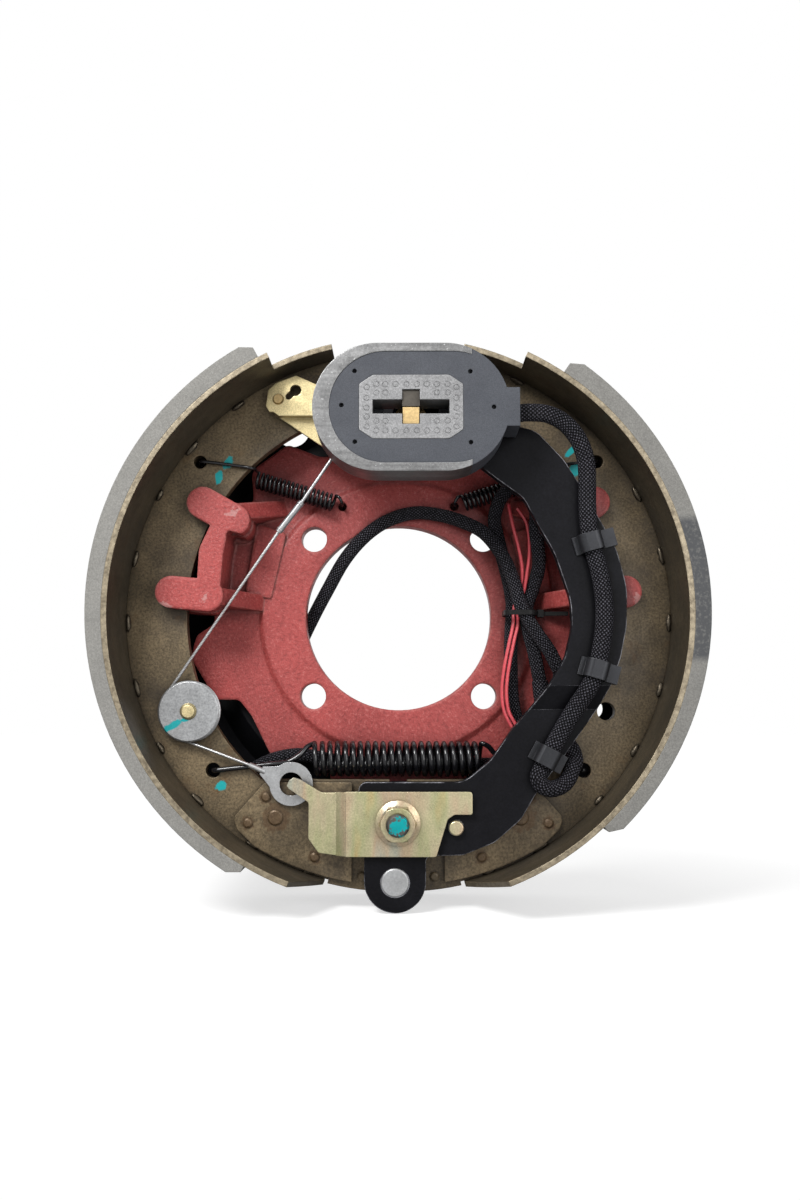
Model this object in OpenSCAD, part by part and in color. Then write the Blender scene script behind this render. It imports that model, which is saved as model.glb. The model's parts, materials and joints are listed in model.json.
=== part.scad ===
// Electric drum brake with a forward self-adjusting cable, seen from the drum side along +Y.
// The origin is the axle centre on the rear mounting face of the spider, +Z is up.
// A depth is measured forwards from that face, towards -Y.

/* [Shoes] */
// Outer radius of the linings
lining_r = 152.7; // [149:0.1:155]
// Thickness of the lining
lining_t = 8; // [5:0.1:10]
// Height of the linings' ground outer circle above the shoes' centre
lining_rise = 1.4; // [0:0.1:2]
// Thickness of the rolled shoe table
table_t = 2.8; // [2.4:0.1:4.5]
// Width of the shoes along the axle
shoe_w = 85.7; // [76:0.1:92]
// Thickness of the shoe web
web_t = 6.4; // [5:0.1:8]
// Depth of the middle of the web
web_mid = 26.9; // [25:0.1:29]
// Sideways offset of each shoe's centre from the axle
shoe_shift = 2.4; // [1.5:0.1:5]
// Drop of the shoes' centre below the axle
shoe_drop = 0.2; // [0:0.1:2]
// Width of the web from its inner edge to the table
web_band = 29.7; // [26:0.1:31]
// Height of the web's straight upper edge over the anchor, below the axle
web_floor = 86.7; // [84:0.1:90]
// Half of the gap between the two webs over the anchor
web_gap = 4.6; // [3.5:0.1:7]
// Thickness of the anchor end plates on the webs
end_plate_t = 3; // [2:0.1:4]
// Radius of the spring holes in the webs
spring_hole_r = 3.6; // [3:0.1:5]

/* [Spider] */
// Diameter of the pilot bore
bore_d = 101.6; // [90:0.1:105]
// Sideways distance between the mounting holes
bolt_dx = 93; // [88:0.1:98]
// Upright distance between the mounting holes
bolt_dz = 86.4; // [80:0.1:92]
// Diameter of the mounting holes
bolt_d = 14; // [10:0.1:16]
// Thickness of the hub of the casting
hub_t = 10; // [8:0.1:12]
// Radius of the raised hub
hub_r = 74; // [70:0.5:78]
// Thickness of the casting's outer plate
plate_t = 8; // [6:0.1:9.5]
// Thickness of the four front paws
paw_t = 8; // [6:0.1:9]
// Radius of the paws' round ends
paw_r = 8.4; // [7:0.1:10]
// Gap between a paw and the web
paw_gap = 0.9; // [0.5:0.1:1.5]
// Gap between a web and the pad behind it
pad_gap = 0.3; // [0.2:0.1:0.8]

/* [Dust shield] */
// Thickness of the dust shield
shield_t = 1.6; // [1.2:0.1:2.5]
// Outer radius of the dust shield
shield_r = 150; // [146:0.5:153]
// Inner radius of the dust shield
shield_in_r = 80; // [78:0.5:84]
// Depth of the shield's dish behind the mounting face
dish = 17; // [16.6:0.1:20]

/* [Anchor] */
// Distance of the anchor below the axle
anchor_drop = 107.5; // [106:0.1:109]
// Radius of the anchor collar that the webs rest on
collar_r = 12.7; // [11:0.1:14]
// Radius of the shoulder that the lever arm turns on
shoulder_r = 9.5; // [8:0.1:10.5]
// Radius of the threaded end
thread_r = 5.7; // [5:0.1:6.5]
// Radius of the nut's flange
nut_flange_r = 11.6; // [10.5:0.1:13]
// Height of the nut
nut_h = 10.5; // [8:0.1:12]
// Thickness of the anchor guide plate
guide_t = 3; // [2:0.1:4]
// Running gap on the anchor, on the radius
run_gap = 0.05; // [0.03:0.01:0.09]
// Gap between the anchor collar and the webs
web_rest_gap = 0.3; // [0.2:0.05:0.6]

/* [Lever arm] */
// Thickness of the lever arm
arm_t = 6.5; // [5.5:0.1:6.8]
// Height of the arm's step towards the magnet
arm_step = 6.4; // [5:0.1:7]
// Distance of the cam pin below the anchor
cam_drop = 30.1; // [29:0.1:31]
// Radius of the cam roller between the shoe ends
roller_r = 6.5; // [6:0.1:7]
// Radius of the visible head of the cam pin
cam_pin_r = 7.2; // [5:0.1:8]
// Gap between the roller and each shoe end
roller_gap = 0.35; // [0.25:0.05:0.6]
// Radius of the stop pin
stop_pin_r = 3.8; // [3:0.1:4.2]

/* [Magnet] */
// Width of the magnet without its lead tab
magnet_w = 98.6; // [90:0.1:104]
// Height of the magnet
magnet_h = 65; // [58:0.1:70]
// Thickness of the magnet
magnet_t = 24.2; // [20:0.1:26]
// Thickness of the steel rim over the top and bottom
rim_t = 4.2; // [3:0.1:6]
// Thickness of the steel rim round the closed end
rim_end_t = 8.3; // [5:0.1:10]
// Sideways place of the magnet's middle
magnet_x = 6.7; // [4:0.1:9]
// Upright place of the magnet's middle
magnet_z = 100; // [98:0.1:102]
// Float of the magnet to either side along its post
float_gap = 2; // [1.5:0.1:2.2]

/* [Self-adjuster] */
// Distance of the adjuster's screw inside the webs' outer radius
screw_in = 20.9; // [19:0.1:23]
// Outer radius of the adjuster's forked ends
fork_r = 8; // [7:0.1:8.6]
// Radius of the star wheel
star_r = 14; // [12:0.1:15]
// Number of teeth on the star wheel
star_teeth = 24; // [16:1:28]
// Radius of the cable pulley
pulley_r = 16; // [14:0.1:17]
// Thickness of the cable pulley
pulley_t = 6; // [5:0.1:7]
// Diameter of the adjuster cable
cable_d = 1.6; // [1.2:0.1:1.8]
// Thickness of the adjuster lever's sheet
pawl_t = 2.2; // [1.6:0.1:2.6]

/* [Springs and lead] */
// Outside diameter of the adjuster spring
big_od = 18.8; // [17:0.1:19]
// Wire diameter of the adjuster spring
big_wire = 2.7; // [2:0.1:3]
// Turns of the adjuster spring
big_turns = 22; // [18:1:24]
// Outside diameter of the retractor springs
small_od = 10; // [8:0.1:10.2]
// Wire diameter of the retractor springs
small_wire = 1.5; // [1.2:0.1:1.7]
// Turns of the retractor springs
small_turns = 17; // [14:1:18]
// Width of the sleeved lead on the arm
lead_w = 9.2; // [8:0.1:9.6]
// Width of the sleeved lead in the bundle
strand_w = 7.4; // [6.6:0.1:7.6]

/* [Hidden] */
$fn = 96;

eps = 0.01;
table_r = lining_r - lining_t;
web_r = table_r - table_t;
web_in_r = web_r - web_band;
screw_z = web_r - screw_in;
web_back = web_mid - web_t / 2;
web_front = web_mid + web_t / 2;
shoe_front = web_mid + shoe_w / 2;
shoe_back = web_mid - shoe_w / 2;
plate_front = web_front + end_plate_t;
paw_back = web_front + paw_gap;
paw_front = paw_back + paw_t;
pad_front = web_back - pad_gap;
bore_r = bore_d / 2;

// Lining ends and table ends of the two shoes, in degrees from +X
lining_arc = [[-47.8, 55.4], [118.4, 240.4]];
table_arc = [[-77, 77], [103, 255.4]];
full_width_arc = [[-68.8, 64], [116.2, 249.2]];
tab_half_w = 22.5;
// The linings' end chamfers: depth, and length along the outer arc
chamfer_deep = 3.7;
chamfer_long = 6.5;
// Beyond the table's lower end the web reaches out this much further
web_tail = 2;

// Places on the shoes were measured with webs of this radius, and move outwards with them
measured_r = 141.9;
function moved(p) = p + p / norm(p) * (web_r - measured_r);
// Places on the webs, given for the right shoe and mirrored for the left
spring_top = moved([106.5, 82.2]);
spring_low = moved([96.9, -81.9]);
pulley_at = moved([109.2, -51.2]);
guide_hole_r = 4.7;
end_rivets = [for (p = [[68.7, -95.5], [78, -108.8], [43.2, -126.2], [18.8, -136.4]]) moved(p)];
end_rivet_r = 2.5;
dowel_at = moved([63.7, -106]);
dowel_r = 4;

anchor_z = -anchor_drop;
cam_x = -1.5;
cam_z = anchor_z - cam_drop;
arm_back = plate_front + 3.4;
arm_front = arm_back + arm_t;
arm_top_back = arm_back + arm_step;
arm_top_front = arm_front + arm_step;
guide_back = arm_front + 0.4;
guide_front = guide_back + guide_t;
nut_front = guide_front + nut_h;
thread_front = nut_front + 3.4;
magnet_back = arm_top_front + float_gap + 0.3;
magnet_face = magnet_back + magnet_t;

// Paw centres of the right side, mirrored for the left
paws = [for (p = [[103.2, 58.6], [119, 11.2]]) moved(p)];
spring_post = [31, 61.4];
screw_at = [[66, 58], [66, -57]];
shield_screw_r = 2.4;
// Holes in the shield: the adjuster's access hole and the inspection hole, mirrored too
access_hole = [62, 111.5];
access_r = 10;
sight_hole = [110, -50];
sight_r = 6;

function unit(v) = v / norm(v);
function flip(p, side) = [p[0] * side, p[1]];

// Outline with a round of radius r at each corner given as [x, z, r]
function rounded(P, n = 6) = [
  for (i = [0 : len(P) - 1])
    let (
      b = [P[i][0], P[i][1]],
      before = P[(i + len(P) - 1) % len(P)],
      after = P[(i + 1) % len(P)],
      r = P[i][2],
      u = unit([before[0], before[1]] - b),
      w = unit([after[0], after[1]] - b),
      half = acos(max(-1, min(1, u * w))) / 2,
      centre = b + unit(u + w) * r / sin(half),
      from = b + u * r / tan(half) - centre,
      to = b + w * r / tan(half) - centre,
      start = atan2(from[1], from[0]),
      turn = (atan2(to[1], to[0]) - start + 540) % 360 - 180
    )
    each (r == 0 ? [b] : [for (k = [0 : n]) centre + r * [cos(start + turn * k / n),
      sin(start + turn * k / n)]])
];

// Everything drawn as a front view is extruded between two depths
module slab(back, front) {
  translate([0, -back, 0]) rotate([90, 0, 0]) linear_extrude(front - back) children();
}
module post(at, back, front, r) {
  translate([at[0], -back, at[1]]) rotate([90, 0, 0]) cylinder(h = front - back, r = r);
}
module taper_post(at, back, front, r_back, r_front) {
  translate([at[0], -back, at[1]]) rotate([90, 0, 0]) cylinder(h = front - back, r1 = r_back, r2 = r_front);
}
// A frame whose X points out at an angle and whose Z runs on anticlockwise
module at_angle(centre, a) {
  translate([centre[0], 0, centre[1]]) rotate([0, -a, 0]) children();
}
// A turned piece about an axis along Y: its profile holds [radius, depth] pairs
module turned(at, profile) {
  translate([at[0], 0, at[1]]) rotate([90, 0, 0]) rotate_extrude() polygon(profile);
}
module bar2d(p, q, w) {
  d = q - p;
  a = atan2(d[1], d[0]);
  polygon([
    for (k = [0 : 12]) q + w / 2 * [cos(a - 90 + 15 * k), sin(a - 90 + 15 * k)],
    for (k = [0 : 12]) p + w / 2 * [cos(a + 90 + 15 * k), sin(a + 90 + 15 * k)]
  ]);
}
module wedge2d(a0, a1, r = 200) {
  polygon([[0, 0], for (k = [0 : 4]) r * [cos(a0 + (a1 - a0) * k / 4), sin(a0 + (a1 - a0) * k / 4)]]);
}
module ring2d(r0, r1, a0, a1) {
  intersection() {
    difference() {
      circle(r1, $fn = 180);
      circle(r0, $fn = 180);
    }
    wedge2d(a0, a1);
  }
}

// A tube swept along points in space: across is the half width in the front view, deep the half depth
function along(P, i) = unit(P[min(i + 1, len(P) - 1)] - P[max(i - 1, 0)]);
function aside(t) = let (s = cross(t, [0, 1, 0])) norm(s) < 0.2 ? unit(cross(t, [0, 0, 1])) : unit(s);
function ring_at(P, S, i, across, deep, n) =
  let (t = along(P, i), s = S == undef ? aside(t) : S[i], d = unit(cross(s, t)))
  [for (k = [0 : n - 1]) P[i] + across * cos(360 * k / n) * s + deep * sin(360 * k / n) * d];
module sweep(P, across, deep, n = 8, S = undef) {
  rings = len(P);
  polyhedron(
    points = [for (i = [0 : rings - 1]) each ring_at(P, S, i, across, deep, n)],
    faces = [
      [for (k = [n - 1 : -1 : 0]) k],
      for (i = [0 : rings - 2]) for (k = [0 : n - 1])
        let (a = i * n + k, b = i * n + (k + 1) % n)
        each [[a, b, b + n], [a, b + n, a + n]],
      [for (k = [0 : n - 1]) (rings - 1) * n + k]
    ]
  );
}
// A smooth route through hand-set points, with steps rings between each two of them
function smooth(P, steps = 2) = [
  for (i = [0 : len(P) - 2])
    let (a = P[max(i - 1, 0)], b = P[i], c = P[i + 1], d = P[min(i + 2, len(P) - 1)])
    for (k = [0 : steps - 1])
      let (t = k / steps)
      0.5 * (2 * b + (c - a) * t + (2 * a - 5 * b + 4 * c - d) * t * t + (3 * b - 3 * c + d - a)
        * t * t * t),
  P[len(P) - 1]
];
// Route points are [x, depth, z] and become [x, -depth, z]
function route(P, steps = 2) = smooth([for (p = P) [p[0], -p[1], p[2]]], steps);

// Cast spider: hub plate, two yokes with front paws and rear pads, and the anchor boss
half_plate = [[0, 87, 0], [44, 90, 6], [62, 97, 5], [82, 82, 8], [80.5, 66, 9], [86, 56, 3], [94, 57, 0],
  [102, 8, 0], [101, -3, 5], [111, -10, 4], [114, -22, 10], [100, -45, 4], [87, -45, 5], [80, -54, 5],
  [69, -76, 6], [38, -78, 4], [33, -118, 6], [18, -129, 6], [0, -129, 0]];
// A right-hand outline that starts and ends on X = 0, closed by its mirror image
function both(P) = concat(
  [for (i = [1 : len(P) - 2]) P[i]],
  [for (i = [len(P) - 2 : -1 : 1]) [-P[i][0], P[i][1], P[i][2]]]
);
half_boss = [[0, -90, 0], [27, -90, 4], [24, -118, 6], [12, -127, 6], [0, -127, 0]];
yoke_x = web_in_r - 6.2;
module half_spider() {
  // Yoke wall between the two arms
  slab(0, paw_front) polygon(rounded([[yoke_x - 20, 60, 3], [yoke_x - 12.5, 58.5, 3],
    [yoke_x - 1.4, 34, 12], [yoke_x, 5, 3], [yoke_x - 12, 4, 3], [yoke_x - 14, 32, 12]]));
  for (p = paws) {
    inner = p * 0.84;
    slab(paw_back, paw_front) bar2d(inner, p, 2 * paw_r);
    slab(0, pad_front) bar2d(inner, p * 0.985, 2 * paw_r);
  }
  // Two ribs ramp down from the wall to the plate
  rib([yoke_x - 16, 53], 164, 30, 9);
  rib([yoke_x - 10, 9], 183, 24, 9);
  // Ridge from the hub out to the yoke
  slab(0, plate_t + 3) polygon(rounded([[62, 46, 2], [78, 52, 2], [84, 14, 2], [70, 10, 2]]));
}
module rib(at, a, reach, w) {
  at_angle(at, a) translate([0, 0, -w / 2]) linear_extrude(w)
    polygon([[-4, -1], [-4, 1 - paw_front], [3, 1 - paw_front], [reach, 1 - plate_t], [reach, -1]]);
}
module spider() color("firebrick") {
  difference() {
    union() {
      half_spider();
      mirror([1, 0, 0]) half_spider();
      slab(0, plate_t) polygon(rounded(both(half_plate)));
      // Boss behind the anchor ends of the shoes
      slab(0, pad_front) polygon(rounded(both(half_boss)));
      turned([0, 0], [[0, 0], [hub_r + 3, 0], [hub_r + 3, plate_t], [hub_r, hub_t], [0, hub_t]]);
    }
    post([0, 0], -eps, hub_t + eps, bore_r);
    for (x = [-1, 1], z = [-1, 1]) post([x * bolt_dx / 2, z * bolt_dz / 2], -eps, hub_t + eps, bolt_d / 2);
    for (s = [-1, 1]) {
      post(flip(spring_post, s), 3, hub_t + eps, 2.4);
      for (p = screw_at) post(flip(p, s), -eps, 6, shield_screw_r + 0.1);
      // Pocket cast into the yoke
      slab(plate_t + 3, paw_front + eps)
        polygon(rounded([for (p = [[75, 40, 2], [90.5, 44, 2], [91, 18, 2], [77, 17, 2]]) [s * p[0], p[1],
          p[2]]]));
    }
    post([0, anchor_z], -eps, pad_front + eps, shoulder_r + run_gap);
  }
}

// Dished sheet-steel dust shield behind the shoes
module dust_shield() color([0.07, 0.07, 0.08]) {
  step_in = shield_in_r + 21;
  step_out = step_in + 12;
  difference() {
    turned([0, 0], [[shield_in_r, 0], [step_in, 0], [step_out, -dish], [shield_r, -dish],
      [shield_r, -dish - shield_t], [step_out - 0.6, -dish - shield_t], [step_in - 0.6, -shield_t],
        [shield_in_r, -shield_t]]);
    for (s = [-1, 1]) {
      post(flip(access_hole, s), -dish - shield_t - 1, -dish + 12, access_r);
      post(flip(sight_hole, s), -dish - shield_t - 1, -dish + 16, sight_r);
      for (p = screw_at) post(flip(p, s), -shield_t - eps, eps, shield_screw_r + 0.3);
    }
    post([0, anchor_z], -dish - shield_t - 1, 1, collar_r + 5);
  }
}
module shield_screws() color("dimgray") {
  for (s = [-1, 1], p = screw_at) {
    post(flip(p, s), -shield_t, 5.5, shield_screw_r);
    taper_post(flip(p, s), -shield_t - 3, -shield_t, 3.2, 4.8);
  }
}

// Anchor: stepped post, guide plate and flange nut
module anchor_post() color("slategray") {
  turned([0, anchor_z], [[0, -5], [collar_r, -5], [collar_r, -0.2], [shoulder_r, -0.2], [shoulder_r,
    pad_front],
    [collar_r, pad_front], [collar_r, arm_back - 0.3], [shoulder_r, arm_back - 0.3],
    [shoulder_r, guide_back], [thread_r, guide_back], [thread_r, thread_front - 1], [thread_r - 1,
      thread_front], [0, thread_front]]);
}
guide_main = [[-26.5, -91.8, 0], [37.8, -91.8, 1.5], [37.8, -103.2, 1], [28.6, -103.2, 2.4],
  [25.2, -105.6, 2], [19.4, -124.3, 1.5], [-26.5, -124.3, 0]];
guide_step = 3;
eye_back = plate_front + 1;
guide_wing = [[-31.5, -92.4, 0], [-39, -92.4, 3], [-50, -86, 0], [-54, -84.6, 1], [-56.4, -90, 1], [-45.6,
  -97.4, 2],
  [-45.6, -115.6, 3], [-40.4, -122.6, 2], [-31.5, -123.8, 0]];
module anchor_guide_plate() color([0.78, 0.68, 0.4]) {
  difference() {
    union() {
      slab(guide_back, guide_front) polygon(rounded(guide_main));
      slab(guide_back - guide_step, guide_front - guide_step) polygon(rounded(guide_wing));
      // The bend between the main plate and its set-back wing
      translate([0, 0, -124.1]) linear_extrude(32)
        polygon([[-26.6, -guide_back], [-26.6, -guide_front], [-31.6, guide_step - guide_front],
          [-31.6, guide_step - guide_back]]);
      // Hooked finger that holds the cable's eye
      slab(eye_back + 0.3, guide_front - guide_step)
        polygon(rounded([[-51.4, -87, 0.8], [-55.3, -85.6, 0.8], [-57, -89.2, 0.8], [-53, -91.8, 0.8]]));
    }
    post([0, anchor_z], guide_back - 1, guide_front + 1, thread_r + 0.2);
  }
}
module anchor_nut() color([0.7, 0.65, 0.5]) {
  difference() {
    union() {
      turned([0, anchor_z], [[0, guide_front], [nut_flange_r, guide_front], [nut_flange_r,
        guide_front + 1.6],
        [nut_flange_r - 2.6, guide_front + 3], [0, guide_front + 3]]);
      intersection() {
        slab(guide_front, nut_front) translate([0, anchor_z]) circle(9.6, $fn = 6);
        taper_post([0, anchor_z], guide_front, nut_front, 14, 8.6);
      }
    }
    post([0, anchor_z], guide_front - 1, nut_front + 1, thread_r + run_gap);
  }
}

// Lever arm: one stamping with a step between the anchor end and the magnet end
lug_r = 15.7;
lug_z = -137;
stop_at = [29.6, -110];
bend_low = -50;
bend_high = -38;
low_span = [67.6, 102.2];
high_span = [77, 108.4];
arm_low = [[-20.1, -87.2, 4], [33.8, -87.2, 14], [47.5, -76, 8], [59, -59.8, 12], [low_span[0], bend_low,
  0],
  [low_span[1], bend_low, 0], [84.4, -74.8, 30], [71, -92, 20], [62.5, -106, 14], [49, -117.5, 14],
  [33, -123.8, 8], [14.2, -124.2, 3], [14.2, lug_z, 0]];
arm_low_left = [[-17.2, lug_z, 0], [-17.2, -122, 6], [-20.1, -112, 6]];
arm_high = [[high_span[0], bend_high, 0], [85.4, -24, 20], [89.3, -8, 30], [88.6, 6, 30], [80.8, 30, 40],
  [72.6, 44.6, 40], [65, 59, 14], [52, 68.5, 8],
  [32, 84, 10], [18, 88.5, 6], [-3, 88.5, 9], [-3, 111.5, 9], [26, 111.5, 10], [50, 98.5, 6], [62, 96.8, 6],
  [72, 94, 12], [86, 79, 30], [95, 64.5, 40], [high_span[1] + 4.2, 32, 30],
  [high_span[1] + 9.2, 12, 40], [high_span[1] + 8.6, -8, 30], [high_span[1] + 5.2, -24, 20],
  [high_span[1], bend_high, 0]];
module lever_arm() color([0.09, 0.09, 0.1]) {
  difference() {
    union() {
      slab(arm_back, arm_front) {
        polygon(rounded(concat(arm_low, arm_low_left)));
        translate([cam_x, lug_z]) circle(lug_r);
      }
      slab(arm_top_back, arm_top_front) polygon(rounded(arm_high));
      hull() {
        translate([low_span[0], -arm_front, bend_low - 0.2]) cube([low_span[1] - low_span[0], arm_t, 0.2]);
        translate([high_span[0], -arm_top_front, bend_high]) cube([high_span[1] - high_span[0], arm_t,
          0.2]);
      }
    }
    post([0, anchor_z], arm_back - 1, arm_front + 1, shoulder_r + run_gap);
    post([cam_x, cam_z], arm_back - 1, arm_front + 1, cam_pin_r + 0.02);
    post(stop_at, arm_back - 1, arm_front + 1, stop_pin_r + 0.02);
    post([magnet_x, magnet_z], arm_top_back - 1, arm_top_front + 1, 7.02);
  }
}
module cam_pin() color("silver") {
  turned([cam_x, cam_z], [[0, arm_front + 0.5], [cam_pin_r - 0.6, arm_front + 0.5], [cam_pin_r, arm_front],
    [cam_pin_r, arm_back], [3.5, arm_back], [3.5, web_back - 1.6], [0, web_back - 1.6]]);
}
module cam_roller() color("gray") {
  difference() {
    post([cam_x, cam_z], web_back - 1, arm_back - 0.3, roller_r);
    post([cam_x, cam_z], web_back - 2, arm_back, 3.55);
  }
}
module stop_pin() color([0.75, 0.65, 0.45]) {
  turned(stop_at, [[0, arm_front + 3.2], [stop_pin_r - 0.5, arm_front + 3.2], [stop_pin_r, arm_front + 2.7],
    [stop_pin_r, arm_back], [0, arm_back]]);
}
// Post on the arm's end that the magnet floats on, with the flat brass tongue seen in its slot
module magnet_post() color([0.72, 0.58, 0.32]) {
  turned([magnet_x, magnet_z], [[0, arm_top_back], [7, arm_top_back], [7, arm_top_front], [8.5,
    arm_top_front],
    [8.5, arm_top_front + 1.6], [3, arm_top_front + 1.6], [3, magnet_back + 4], [0, magnet_back + 4]]);
  translate([magnet_x - 4.1, -(magnet_face - 1), magnet_z - 8.5]) cube([8.2, magnet_t - 7.2, 8.4]);
  translate([magnet_x - 2, -(magnet_back + 6.3), magnet_z - 2.3]) cube([4, 2.4, 2.2]);
}

// Clips that hold the lead on the arm: [x, z, direction of the lead, reach to the arm's edge, step]
beside_lead = lead_w / 2 + 1.5;
clips = [[98.9, 35.3, -75, max(beside_lead, high_span[1] - 95.9), 1],
  [100.8, -29.8, -106, max(beside_lead, high_span[1] - 97.1), 1], [76.1, -74.2, -118, 8.9, 0]];
clip_len = 9.4;
clip_t = 1;
lead_h = 6.2;
strand_h = 5;
loop_w = 8.6;
loop_h = 5.6;
module lead_clips() color([0.2, 0.2, 0.22]) {
  for (c = clips) {
    face = c[4] == 1 ? arm_top_front : arm_front;
    back = c[4] == 1 ? arm_top_back : arm_back;
    half = lead_w / 2 + 0.35;
    translate([c[0], 0, c[1]]) rotate([0, -c[2] - 90, 0]) translate([0, 0, -clip_len / 2])
      linear_extrude(clip_len) {
      rise = face + lead_h + 1.2;
      difference() {
        polygon(rounded([[-half - clip_t, -face, 0], [-half - clip_t, -rise - clip_t, 3.4],
          [half + clip_t, -rise - clip_t, 3.4], [half + clip_t, -face, 0]]));
        polygon(rounded([[-half, -face + 1, 0], [-half, -rise, 2.6], [half, -rise, 2.6], [half, -face + 1,
          0]]));
      }
      translate([-half - 3.6, -face - clip_t]) square([3.6, clip_t]);
      translate([half, -face - clip_t]) square([c[3] - half, clip_t]);
      translate([c[3], -face - clip_t]) square([clip_t, face - back + 2 * clip_t]);
      translate([c[3] - 4, -back]) square([4 + clip_t, clip_t]);
    }
  }
}

// Electromagnet: steel rim open at its right end, coil block with the lead tab, inner pole
module stadium2d(w, h) {
  translate([magnet_x, magnet_z]) {
    square([w - h, h], center = true);
    for (s = [-1, 1]) translate([s * (w - h) / 2, 0]) circle(h / 2);
  }
}
rim_end = magnet_x + 30.4;
module coil2d(gap) {
  w = magnet_w - rim_end_t - 2 * gap;
  h = magnet_h - 2 * rim_t - 2 * gap;
  translate([rim_end_t / 2, 0]) stadium2d(w, h);
}
module magnet_shell() color("gray") {
  slab(magnet_back, magnet_face) difference() {
    stadium2d(magnet_w, magnet_h);
    coil2d(0);
    translate([rim_end, magnet_z - magnet_h]) square([60, 2 * magnet_h]);
  }
}
pole_w = 51.8;
pole_h = 32.4;
pole_cut = [6.9, 4.6];
slot_w = 38.4;
slot_h = 7.2;
window_w = 8.8;
window_h = 17.6;
module pole2d(grow) {
  w = pole_w / 2 + grow;
  h = pole_h / 2 + grow;
  translate([magnet_x, magnet_z]) polygon(rounded([[-w, pole_cut[1] - h, 1.5], [pole_cut[0] - w, -h, 3],
    [w - pole_cut[0], -h, 3], [w, pole_cut[1] - h, 1.5], [w, h - pole_cut[1], 1.5], [w - pole_cut[0], h, 3],
    [pole_cut[0] - w, h, 3], [-w, h - pole_cut[1], 1.5]]));
}
module slot2d() {
  translate([magnet_x, magnet_z]) {
    square([slot_w, slot_h], center = true);
    square([window_w, window_h], center = true);
  }
}
module magnet_coil_block() color([0.35, 0.36, 0.4]) {
  difference() {
    slab(magnet_back, magnet_face - 0.3) {
      coil2d(0);
      intersection() {
        stadium2d(magnet_w, magnet_h);
        translate([rim_end, magnet_z - magnet_h / 2]) square([60, magnet_h]);
      }
      translate([magnet_x + 40, magnet_z - 9.8]) square([14.3, 19.6]);
    }
    slab(magnet_back + 6, magnet_face) pole2d(0.05);
    slab(magnet_back - 1, magnet_back + 7) translate([magnet_x, magnet_z]) square([slot_w - 10, 18.6],
      center = true);
    for (p = [[-28.2, 18.2], [29.6, 17.9], [-34.7, 0.8], [41.3, -0.2], [-27.9, -17.8], [29.7, -18.1]])
      post([magnet_x + p[0], magnet_z + p[1]], magnet_face - 3, magnet_face, 1.15);
  }
}
module magnet_pole() color("darkgray") {
  difference() {
    slab(magnet_back + 6.05, magnet_face - 0.1) pole2d(0);
    slab(magnet_back + 5, magnet_face + 1) slot2d();
  }
}
// Grey keeper in the upper part of the window, held in the pole
module magnet_keeper() color([0.45, 0.42, 0.4]) {
  translate([magnet_x - window_w / 2, -(magnet_face - 1.2), magnet_z + 0.4])
    cube([window_w, magnet_t - 8, window_h / 2 - 0.6]);
}
// Coil spring behind the magnet, drawn as a thin sleeve of its outer size
module magnet_spring() color([0.2, 0.2, 0.2]) {
  turned([magnet_x, magnet_z], [[3.3, arm_top_front + 1.7], [4.8, arm_top_front + 1.7], [4.8,
    magnet_back + 5.8],
    [3.3, magnet_back + 5.8]]);
}

// Shoes: i is 0 for the primary on the right and 1 for the secondary on the left
function side(i) = i == 0 ? 1 : -1;
function centre(i) = [side(i) * shoe_shift, -shoe_drop];
function lower_end(i) = i == 0 ? table_arc[0][0] : table_arc[1][1];
function full_low(i) = i == 0 ? full_width_arc[0][0] : full_width_arc[1][1];
function upper_span(i) = i == 0 ? [full_width_arc[0][1], 90] : [90, full_width_arc[1][0]];
module shoe_table(i) {
  t_end = (lower_end(i) - full_low(i)) * PI / 180 * table_r;
  span = upper_span(i);
  difference() {
    slab(shoe_back, shoe_front) translate(centre(i)) ring2d(web_r, table_r, table_arc[i][0],
      table_arc[i][1]);
    // The upper end is a narrower tab
    for (d = [[shoe_back - 1, web_mid - tab_half_w], [web_mid + tab_half_w, shoe_front + 1]])
      slab(d[0], d[1]) translate(centre(i)) ring2d(web_r - 2, table_r + 2, span[0], span[1]);
    // The lower end tapers back to the web on both edges
    at_angle(centre(i), full_low(i)) translate([web_r - 16, 0, 0]) rotate([90, 0, 90]) linear_extrude(24) {
      for (d = [[shoe_front, web_front + 2, 2], [shoe_back, web_back - 2, -2]])
        polygon([[-d[0], 0], [-d[1], t_end], [-d[1], t_end * 1.5], [-d[0] - d[2], t_end * 1.5],
          [-d[0] - d[2], 0]]);
    }
  }
}
module shoe_web(i) {
  s = side(i);
  notch = roller_r + roller_gap;
  fork_in = 5;
  difference() {
    slab(web_back, web_front) difference() {
      intersection() {
        translate(centre(i)) {
          circle(web_r, $fn = 180);
          intersection() {
            circle(web_r + web_tail, $fn = 180);
            wedge2d(lower_end(i) + s * -18, lower_end(i) - s * 0.8);
          }
        }
        polygon([[s * web_gap, -160], [s * web_gap, -60], [s * 24.6, -60], [s * 24.6, 160], [s * 160, 160],
          [s * 160, -160]]);
      }
      intersection() {
        circle(web_in_r, $fn = 180);
        translate([-150, -web_floor]) square([300, 300]);
      }
      translate([0, anchor_z]) circle(collar_r + web_rest_gap);
      translate([cam_x - notch, cam_z - 30]) square([2 * notch, 38.5]);
      translate([s * (24.6 + fork_in / 2), screw_z]) square([fork_in, 2 * fork_r + 1], center = true);
      translate([s * 23.6, screw_z]) square([4, 2 * fork_r + 1], center = true);
    }
    post(flip(spring_top, s), web_back - 1, web_front + 1, spring_hole_r);
    post(flip(spring_low, s), web_back - 1, web_front + 1, spring_hole_r + 0.3);
    post(flip(pulley_at, s), web_back - 1, web_front + 1, i == 0 ? guide_hole_r : 3.02);
  }
}
function lining_centre(i) = centre(i) + [0, lining_rise];
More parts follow.
